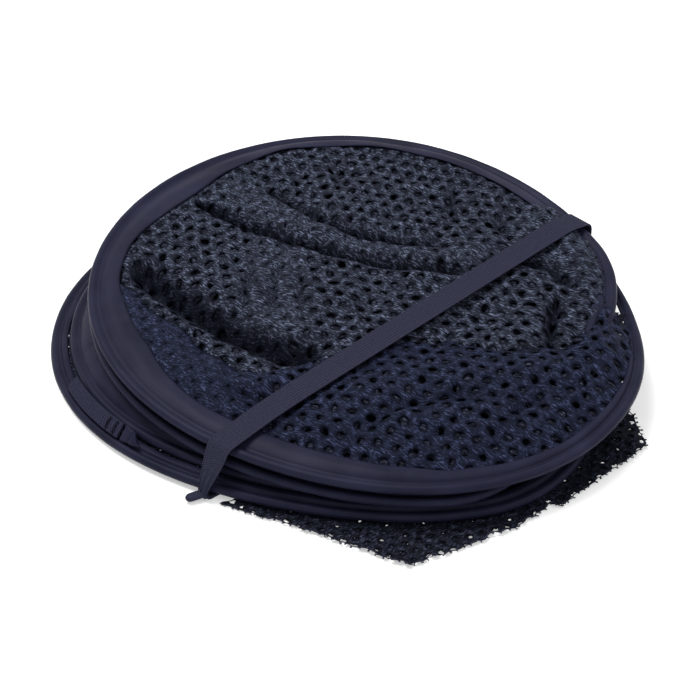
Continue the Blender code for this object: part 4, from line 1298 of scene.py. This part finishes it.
def edgeFoot(spot):
    # the nearest point of the panel's cut edge
    moved = spot + wanderAt(spot)
    best = None
    for outline in panelOutlines.values():
        for a, b in zip(outline, outline[1:] + outline[:1]):
            run = b - a
            foot = a + run * min(max((moved - a).dot(run) / run.dot(run), 0.0), 1.0)
            if best is None or (foot - moved).length < best[0]:
                best = ((foot - moved).length, foot)
    return best[1] - moved + spot


def makeFringe(name, body, part, outline):
    # the raw edge's threads, in small loops along it
    spots = []
    done = 0.0
    for a, b in zip(outline, outline[1:]):
        run = b - a
        along = run.normalized()
        outward = Vector((along.y, -along.x))
        for i in range(int(run.length / panel["fringeStep"])):
            at = a + along * panel["fringeStep"] * i
            turn = (done + panel["fringeStep"] * i) / panel["fringeLoop"] * 2.0 * math.pi
            turn += 2.5 * ruffle(at, 130.0, 91.0)
            spot = at - wanderAt(at) + along * panel["fringeAlong"] * math.sin(turn)
            uneven = 1.0 + 0.8 * ruffle(at, 300.0, 95.0)
            spot += outward * panel["fringeOut"] * (0.4 - math.cos(turn)) * uneven
            height = panelHeight(spot) + panel["fringeLift"] * (1.0 + math.sin(turn * 0.5 + 1.0))
            spots.append((spot.x, spot.y, max(height, panel["fringeRadius"] + 0.0001)))
        done += run.length
    piece = threadTube(name, spots, panel["fringeRadius"], threadFinish, None)
    finishPanel(piece, part, body)


def fitsPanel(spot, inset):
    return all(inPanel(spot + Vector(side) * inset) for side in ((1, 0), (-1, 0), (0, 1), (0, -1)))


def makePanelPart(name, part, body, node, layered=False):
    middle = Vector((0.020, -0.040))
    turned = panel["underTurned"] if layered else panel["turned"]

    def keep(spot):
        spot = turnedBy(spot, turned) + middle
        if not layered:
            return inPanel(spot) or nearPanel(spot, panel["pitch"] * 0.5)
        angle, reach = polar(lower, spot)
        beyond = reach > fromTable(lowerOuterRim, angle)[0] - panel["underReach"]
        return beyond and fitsPanel(spot, panel["underInset"])

    hole = panel["underHole"] if layered else panel["hole"]
    shape = honeycomb(panel["pitch"], hole, netReach, keep, fullyOpen, 0.0)
    outside = set()
    for vert in shape.verts:
        spot = turnedBy(vert.co.xy, turned) + middle
        if not layered and not inPanel(spot):
            outside.add(vert)
            spot = edgeFoot(spot)
        vert.co = (spot.x, spot.y, vert.co.z)
    beyond = [face for face in shape.faces if all(vert in outside for vert in face.verts)]
    bmesh.ops.delete(shape, geom=beyond, context="FACES")
    for line, side in panelFolds.values():
        bmesh.ops.bisect_plane(shape, geom=shape.verts[:] + shape.edges[:] + shape.faces[:], dist=1e-7,
                               plane_co=(line.x, line.y, 0.0), plane_no=(side.x, side.y, 0.0))
    other = [face for face in shape.faces if panelPart(face.calc_center_median().xy) != part]
    bmesh.ops.delete(shape, geom=other, context="FACES")
    area = netArea(shape)
    for vert in shape.verts:
        spot = vert.co.xy
        spot += unevenly(spot, panel["uneven"], 81.0)
        height = panelHeight(spot)
        if layered:
            height = max(height - panel["underHeight"], 0.0002)
        vert.co = (spot.x, spot.y, height + vert.co.z)
    piece = newPiece(name, shape, looseNetShadedFinish, None)
    thicken(piece, panel["thickness"], 1.0)
    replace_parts(piece, node)
    finishPanel(piece, part, body)


def finishPanel(piece, part, body):
    # the middle rides on the lower coil; a free corner's thickness is made part of its mesh and its place is
    # fixed in it
    if body == "lower_coil":
        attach(piece, body)
        return
    applyModifiers(piece)
    line, side = panelFolds[part]
    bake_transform(piece)


panelParts = [
    ("middle", "lower_coil", "loose_mesh_panel", (0.205, 0.150)),
    ("front", "front_corner", "loose_panel_front_corner", (0.090, 0.025)),
    ("right", "right_corner", "loose_panel_right_corner", (0.072, 0.026)),
]
fringeLines = [
    ("middle", "lower_coil", [panelLeft, frontStart]),
    ("side", "lower_coil", [frontEnd, rightStart]),
    ("back", "lower_coil", [rightEnd, rightEnd + panel["back"]]),
    ("front", "front_corner", frontOutline),
    ("right", "right_corner", rightOutline),
]
for part, body, outline in fringeLines:
    makeFringe(part + "Fringe", body, part, outline)
for part, body, node, flatSize in panelParts:
    makePanelPart(part + "LooseNet", part, body, node)
    makePanelPart(part + "LooseUnderNet", part, body, node, True)


# straps and laps: each is a flat grid rolled into a closed skin
def wrapped(grid, place, length, girth):
    shape, flat = startGrid(*grid)
    for vert in shape.verts:
        vert.co = place(vert.co.x + 0.5, (vert.co.y + 0.5) % 1.0)
    return closeSkin(shape, flat, length, girth)


def roundedSection(turn, width, thickness, square):
    # spot on a rounded flat outline for a share of the way round it
    across, up = math.cos(2.0 * math.pi * turn), math.sin(2.0 * math.pi * turn)
    return math.copysign(abs(across) ** (2.0 / square), across) * width / 2.0, \
        math.copysign(abs(up) ** (2.0 / square), up) * thickness / 2.0


# elastic band: it keeps to the outline of its solid, and is pinched where it turns under at the lower left
band = dict(
    thickness=0.0008, ribs=9, ribDepth=0.00030, step=0.0011, across=54, easing=3, pinched=0.40,
    pinchHeight=0.022, pinchReach=0.026, bulge=0.0010, fold=0.0005, tuckGrid=(30, 40), tuckLength=0.0085,
    tuckWidth=0.0042, tuckThickness=0.0026,
    lapGrid=(72, 40), lapLength=0.016, lapGirth=0.025, lapWidth=0.0115, lapStitch=0.00012,
)


def convexOutline(spots):
    # the outline of a set of spots, once round
    spots = sorted(spots, key=lambda spot: (spot.x, spot.y))
    chain = []
    for row in (spots, spots[::-1]):
        side = []
        for spot in row:
            while len(side) > 1 and (side[-1] - side[-2]).cross(spot - side[-1]) <= 1e-12:
                side.pop()
            side.append(spot)
        chain += side[:-1]
    return chain


def alongOutline(outline, step):
    # evenly spaced spots along a closed outline, with its corners eased
    lengths = [(b - a).length for a, b in zip(outline, outline[1:] + outline[:1])]
    total = sum(lengths)
    count = int(total / step)
    spots, index, done = [], 0, 0.0
    for i in range(count):
        target = total * i / count
        while done + lengths[index] < target:
            done += lengths[index]
            index += 1
        a, b = outline[index], outline[(index + 1) % len(outline)]
        spots.append(a.lerp(b, (target - done) / max(lengths[index], 1e-9)))
    for _ in range(band["easing"]):
        spots = [(spots[i - 1] + spots[i] * 2.0 + spots[(i + 1) % count]) / 4.0 for i in range(count)]
    return spots, total


def bandLevel(along, across, height):
    spot = bandPoint + bandAlong * along + bandAcross * across
    return Vector((spot.x, spot.y, height))


bandSpots = []
for vert in bpy.data.objects["elastic_band"].data.vertices:
    offset = Vector((vert.co.x - coilOffset.x, vert.co.y - coilOffset.y)) - bandPoint
    bandSpots.append(Vector((offset.dot(bandAlong), vert.co.z)))
bandRun, bandLength = alongOutline(convexOutline(bandSpots), band["step"])
bandLeft = min(spot.x for spot in bandRun)
print("elastic band is", round(1000.0 * bandLength), "mm round")


def bandRib(share):
    # height of the ribs for a share of the band's width
    return band["ribDepth"] * abs(math.sin(math.pi * band["ribs"] * share)) ** 0.7


def makeBand():
    count = len(bandRun)
    shape, flat = startGrid(count, band["across"])
    for vert in shape.verts:
        index = round((vert.co.x + 0.5) * count) % count
        share = vert.co.y + 0.5
        spot = bandRun[index]
        run = (bandRun[(index + 1) % count] - bandRun[index - 1]).normalized()
        out = Vector((run.y, -run.x))
        beyond = (spot.x - bandLeft) / band["pinchReach"] - 0.15
        spread = max(smooth(spot.y / band["pinchHeight"]), smooth(beyond))
        width = bandWidth * (band["pinched"] + (1.0 - band["pinched"]) * spread)
        # the pinched width stands proud in folds
        bulge = (1.0 - spread) * band["bulge"] * math.cos(math.pi * (share - 0.5))
        fold = (1.0 - spread) * band["fold"] * math.cos(6.0 * math.pi * share)
        lift = bandRib(share) * (0.4 + 0.6 * spread) + bulge + fold - band["ribDepth"]
        place = spot + out * lift
        vert.co = bandLevel(place.x, (share - 0.5) * width, max(place.y, 0.0001))
    closeSkin(shape, flat, bandLength, bandWidth, False)
    piece = newPiece("elasticBand", shape, bandFinish, "band")
    thicken(piece, band["thickness"], -1.0)
    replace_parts(piece, "elastic_band")


makeBand()


def makeBandTuck():
    # the pinched band's fold, which pokes out beyond the coil
    length, girth = band["tuckLength"], 2.0 * (band["tuckWidth"] + band["tuckThickness"])
    start = bandLevel(bandLeft + 0.0010, 0.0, 0.0030)
    heading = Vector((-0.93, -0.36, -0.10)).normalized()
    side = heading.cross(Vector((0.0, 0.0, 1.0))).normalized()
    raised = side.cross(heading)

    def place(share, turn):
        full = 0.02                      # the tip is closed
        if share < 0.999:
            full = math.sqrt(max(1.0 - max((share - 0.72) / 0.28, 0.0) ** 2, 0.0))
        across, up = roundedSection(turn, band["tuckWidth"] * full, band["tuckThickness"] * full, 2.6)
        ribbed = 1.0 + 0.10 * abs(math.sin(math.pi * 4.0 * (across / band["tuckWidth"] + 0.5)))
        return start + heading * length * share + side * across + raised * up * ribbed

    shape = wrapped(band["tuckGrid"], place, length, girth)
    newPiece("bandTuck", shape, bandFinish, "band")


makeBandTuck()


def makeBandLap():
    # the band's two ends, one over the other, stitched across
    low, high = [Vector(corner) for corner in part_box("elastic_band_lap")]
    floorRun = [spot.x for spot in bandRun if spot.y < 0.0006]
    middle, length = (min(floorRun) + max(floorRun)) / 2.0, band["lapLength"]

    def place(share, turn):
        across, up = roundedSection(turn, band["lapWidth"], high.z - low.z - 0.0001, 6.0)
        stitch = band["lapStitch"] * math.sin(2.0 * math.pi * share * 9.0)
        height = (low.z + high.z) / 2.0 + up + (stitch if up > 0.0 else 0.0)
        return bandLevel(middle + (share - 0.5) * length, across, height)

    shape = wrapped(band["lapGrid"], place, length, band["lapGirth"])
    piece = newPiece("bandLap", shape, threadFinish, "band")
    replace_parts(piece, "elastic_band_lap")


makeBandLap()

# carry handle: ribbed webbing on the lower coil's outer turn, two rows of stitches and the folded tape at
# its end
handle = dict(
    start=217.0, end=196.0, width=0.0072, thickness=0.0013, slope=48.0, inset=0.0008, ribs=27,
    ribDepth=0.00026, channel=0.0003, lift=0.00024, grid=(216, 44), length=0.050, girth=0.017,
    tackGap=0.0003, stitches=15, stitchMargin=0.0006, stitchRadius=0.00020,
    tapeGrid=(60, 40), tapeLength=0.016, tapeGirth=0.015, tapeThickness=0.0011,
    tapeStart=0.9, tapeEnd=223.5, tapeCrease=0.00045, tapeSwell=0.0007, tapeDrop=0.0020,
)


def handlePlace(angle):
    centre, toward, _, _ = frameAt(lower, inTurns(angle))
    inward = Vector((toward.x, toward.y, 0.0)).normalized()
    slope = math.radians(handle["slope"])
    rise = (handle["width"] * math.sin(slope) + handle["thickness"] * math.cos(slope)) / 2.0
    middle = centre + inward * (handle["inset"] + handle["width"] * math.cos(slope) / 2.0)
    middle.z += pipeRadius + handle["lift"] + rise
    wide = inward * math.cos(slope) + Vector((0.0, 0.0, math.sin(slope)))
    return middle, wide, Vector((0.0, 0.0, math.cos(slope))) - inward * math.sin(slope)


def makeHandle():
    def place(share, turn):
        middle, wide, normal = handlePlace(handle["start"] + (handle["end"] - handle["start"]) * share)
        across, up = roundedSection(turn, handle["width"], handle["thickness"], 4.0)
        half = 0.5 if across < -0.08 * handle["width"] else 0.0  # the ribs of the two halves are staggered
        rib = math.sin(2.0 * math.pi * (handle["ribs"] * share + half))
        channel = handle["channel"] * bump(across, 0.0004)
        return middle + wide * across + normal * (up + math.copysign(handle["ribDepth"] * rib - channel, up))

    shape = wrapped(handle["grid"], place, handle["length"], handle["girth"])
    piece = newPiece("carryHandle", shape, webbingFinish, "handle")
    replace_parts(piece, "carry_handle")


makeHandle()


def makeTack(name, node, step):
    # one thread, to and fro across the webbing
    span = (handle["end"] - handle["start"]) / 8.0
    above = handle["thickness"] / 2.0 + handle["tackGap"] + handle["stitchRadius"]
    spots = []
    for i in range(2 * handle["stitches"] + 1):
        side = 1.0 if i % 2 else -1.0
        middle, wide, normal = handlePlace(handle["start"] + span * (step + 0.13 * side))
        across = (i / (2.0 * handle["stitches"]) - 0.5) * (handle["width"] - 2.0 * handle["stitchMargin"])
        spots.append(middle + wide * across + normal * above)
    piece = threadTube(name, spots, handle["stitchRadius"], threadFinish, "handle")
    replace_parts(piece, node)


makeTack("endTack", "handle_end_tack", 0.6)
makeTack("innerTack", "handle_inner_tack", 1.5)


def makeAnchorTape():
    # tape folded over the webbing's end, drawn together to a point
    start = handle["start"] + handle["tapeStart"]
    run = handle["tapeEnd"] - handle["start"] - handle["tapeStart"]

    def place(share, turn):
        middle, wide, normal = handlePlace(start + run * share)
        width = handle["width"] * (1.0 - 0.16 * smooth(share / 0.45) - 0.76 * smooth((share - 0.45) / 0.55))
        across, up = roundedSection(turn, width, handle["tapeThickness"], 4.0)
        fold = handle["tapeCrease"] * bump(share - 0.48 - 12.0 * across, 0.05)
        arch = 1.0 - (2.0 * across / handle["width"]) ** 2
        swell = handle["tapeSwell"] * math.sin(math.pi * min(share / 0.95, 1.0)) * arch
        drop = handle["tapeDrop"] * smooth((share - 0.4) / 0.6)
        return middle + wide * (across - drop) + normal * (up + (swell - fold if up > 0.0 else 0.0))

    shape = wrapped(handle["tapeGrid"], place, handle["tapeLength"], handle["tapeGirth"])
    piece = newPiece("anchorTape", shape, satin, "lower_coil")
    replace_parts(piece, "handle_anchor_tape")


makeAnchorTape()

# laps: a short tape round each binding, over the crimped joint of the wire
lap = dict(grid=(24, 104), half=0.0150, girth=0.030, thickness=0.0005, gap=0.00035, short=0.0015)


def makeLap(name, coil, node, body, seed):
    length = coilLength(coil, jointPlace - 0.02, jointPlace + 0.02)
    reach = lap["half"] * 0.04 / length

    def place(share, turn):
        centre, toward, normal, flange = frameAt(coil, jointPlace + reach * (2.0 * share - 1.0))
        outside = turn < 0.5
        past = turn * 2.0 if outside else (1.0 - turn) * 2.0
        across, up = bindingProfile(past * 0.999, flange - lap["short"], share * 2.0 * lap["half"], seed)
        grow = lap["gap"] + (lap["thickness"] if outside else 0.0)
        if across > pipeRadius * 0.97:
            up += math.copysign(grow, 0.45 - past)
        else:
            away = Vector((across, up)).normalized()
            across, up = away.x * (pipeRadius * 1.04 + grow), away.y * (pipeRadius * 1.04 + grow)
        return centre + toward * across + normal * up

    shape = wrapped(lap["grid"], place, 2.0 * lap["half"], lap["girth"])
    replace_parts(newPiece(name, shape, satin, body), node)


makeLap("upperLap", coils["upper"], "upper_sleeve_lap", "upper_coil", bindingSeeds["upper"])
makeLap("lowerLap", coils["lower"], "lower_sleeve_lap", "lower_coil", bindingSeeds["lower"])


# camera, floor and light, which stand by and take no part in the object
def makeCamera():
    data = bpy.data.cameras.new("camera")
    data.lens, data.sensor_width = studio["lens"], 36.0
    data.shift_x, data.shift_y = studio["shift"]
    camera = bpy.data.objects.new("camera", data)
    bpy.context.scene.collection.objects.link(camera)
    lift = math.radians(studio["elevation"])
    target = Vector(studio["target"])
    camera.location = target + Vector((0.0, -math.cos(lift), math.sin(lift))) * studio["distance"]
    camera.rotation_euler = (target - camera.location).to_track_quat("-Z", "Y").to_euler()
    bpy.context.scene.camera = camera


def makeFloor():
    shape = bmesh.new()
    bmesh.ops.create_grid(shape, x_segments=1, y_segments=1, size=studio["floorSize"] / 2.0)
    mesh = bpy.data.meshes.new("studioFloor")
    shape.to_mesh(mesh)
    shape.free()
    floor = bpy.data.objects.new("studioFloor", mesh)
    bpy.context.scene.collection.objects.link(floor)
    made = bpy.data.materials.new("paleFloor")
    made.use_nodes = True
    nodes, links = made.node_tree.nodes, made.node_tree.links
    shader = nodes["Principled BSDF"]
    shader.inputs["Base Color"].default_value = (0.86, 0.86, 0.86, 1.0)
    shader.inputs["Roughness"].default_value = 0.9
    shader.inputs["Specular IOR Level"].default_value = 0.0
    shader.inputs["Emission Color"].default_value = (1.0, 1.0, 1.0, 1.0)
    shader.inputs["Emission Strength"].default_value = studio["floorGlow"]
    mesh.materials.append(made)


def makeLights():
    world = bpy.data.worlds.new("paleRoom")
    bpy.context.scene.world = world
    world.use_nodes = True
    nodes, links = world.node_tree.nodes, world.node_tree.links
    soft = nodes["Background"]
    soft.inputs["Strength"].default_value = studio["worldStrength"]
    white = nodes.new("ShaderNodeBackground")
    white.inputs["Strength"].default_value = 1.0
    white.inputs["Color"].default_value = (1.0, 1.0, 1.0, 1.0)
    soft.inputs["Color"].default_value = (1.0, 1.0, 1.0, 1.0)
    path, mix = nodes.new("ShaderNodeLightPath"), nodes.new("ShaderNodeMixShader")
    seen = mathNode(nodes, links, "MAXIMUM", path.outputs["Is Camera Ray"], path.outputs["Is Glossy Ray"])
    links.new(mathNode(nodes, links, "MAXIMUM", seen, path.outputs["Is Transmission Ray"]), mix.inputs["Fac"])
    links.new(soft.outputs["Background"], mix.inputs[1])
    links.new(white.outputs["Background"], mix.inputs[2])
    links.new(mix.outputs["Shader"], nodes["World Output"].inputs["Surface"])
    for name in ("key", "fill", "front"):
        data = bpy.data.lights.new(name + "Lamp", "AREA")
        data.energy, data.size = studio[name + "Power"], studio[name + "Size"]
        lamp = bpy.data.objects.new(name + "Lamp", data)
        lamp.location = studio[name + "Place"]
        lamp.rotation_euler = (Vector(studio["target"]) - lamp.location).to_track_quat("-Z", "Y").to_euler()
        bpy.context.scene.collection.objects.link(lamp)


makeCamera()
makeFloor()
makeLights()
bpy.context.scene.view_settings.view_transform = "Standard"
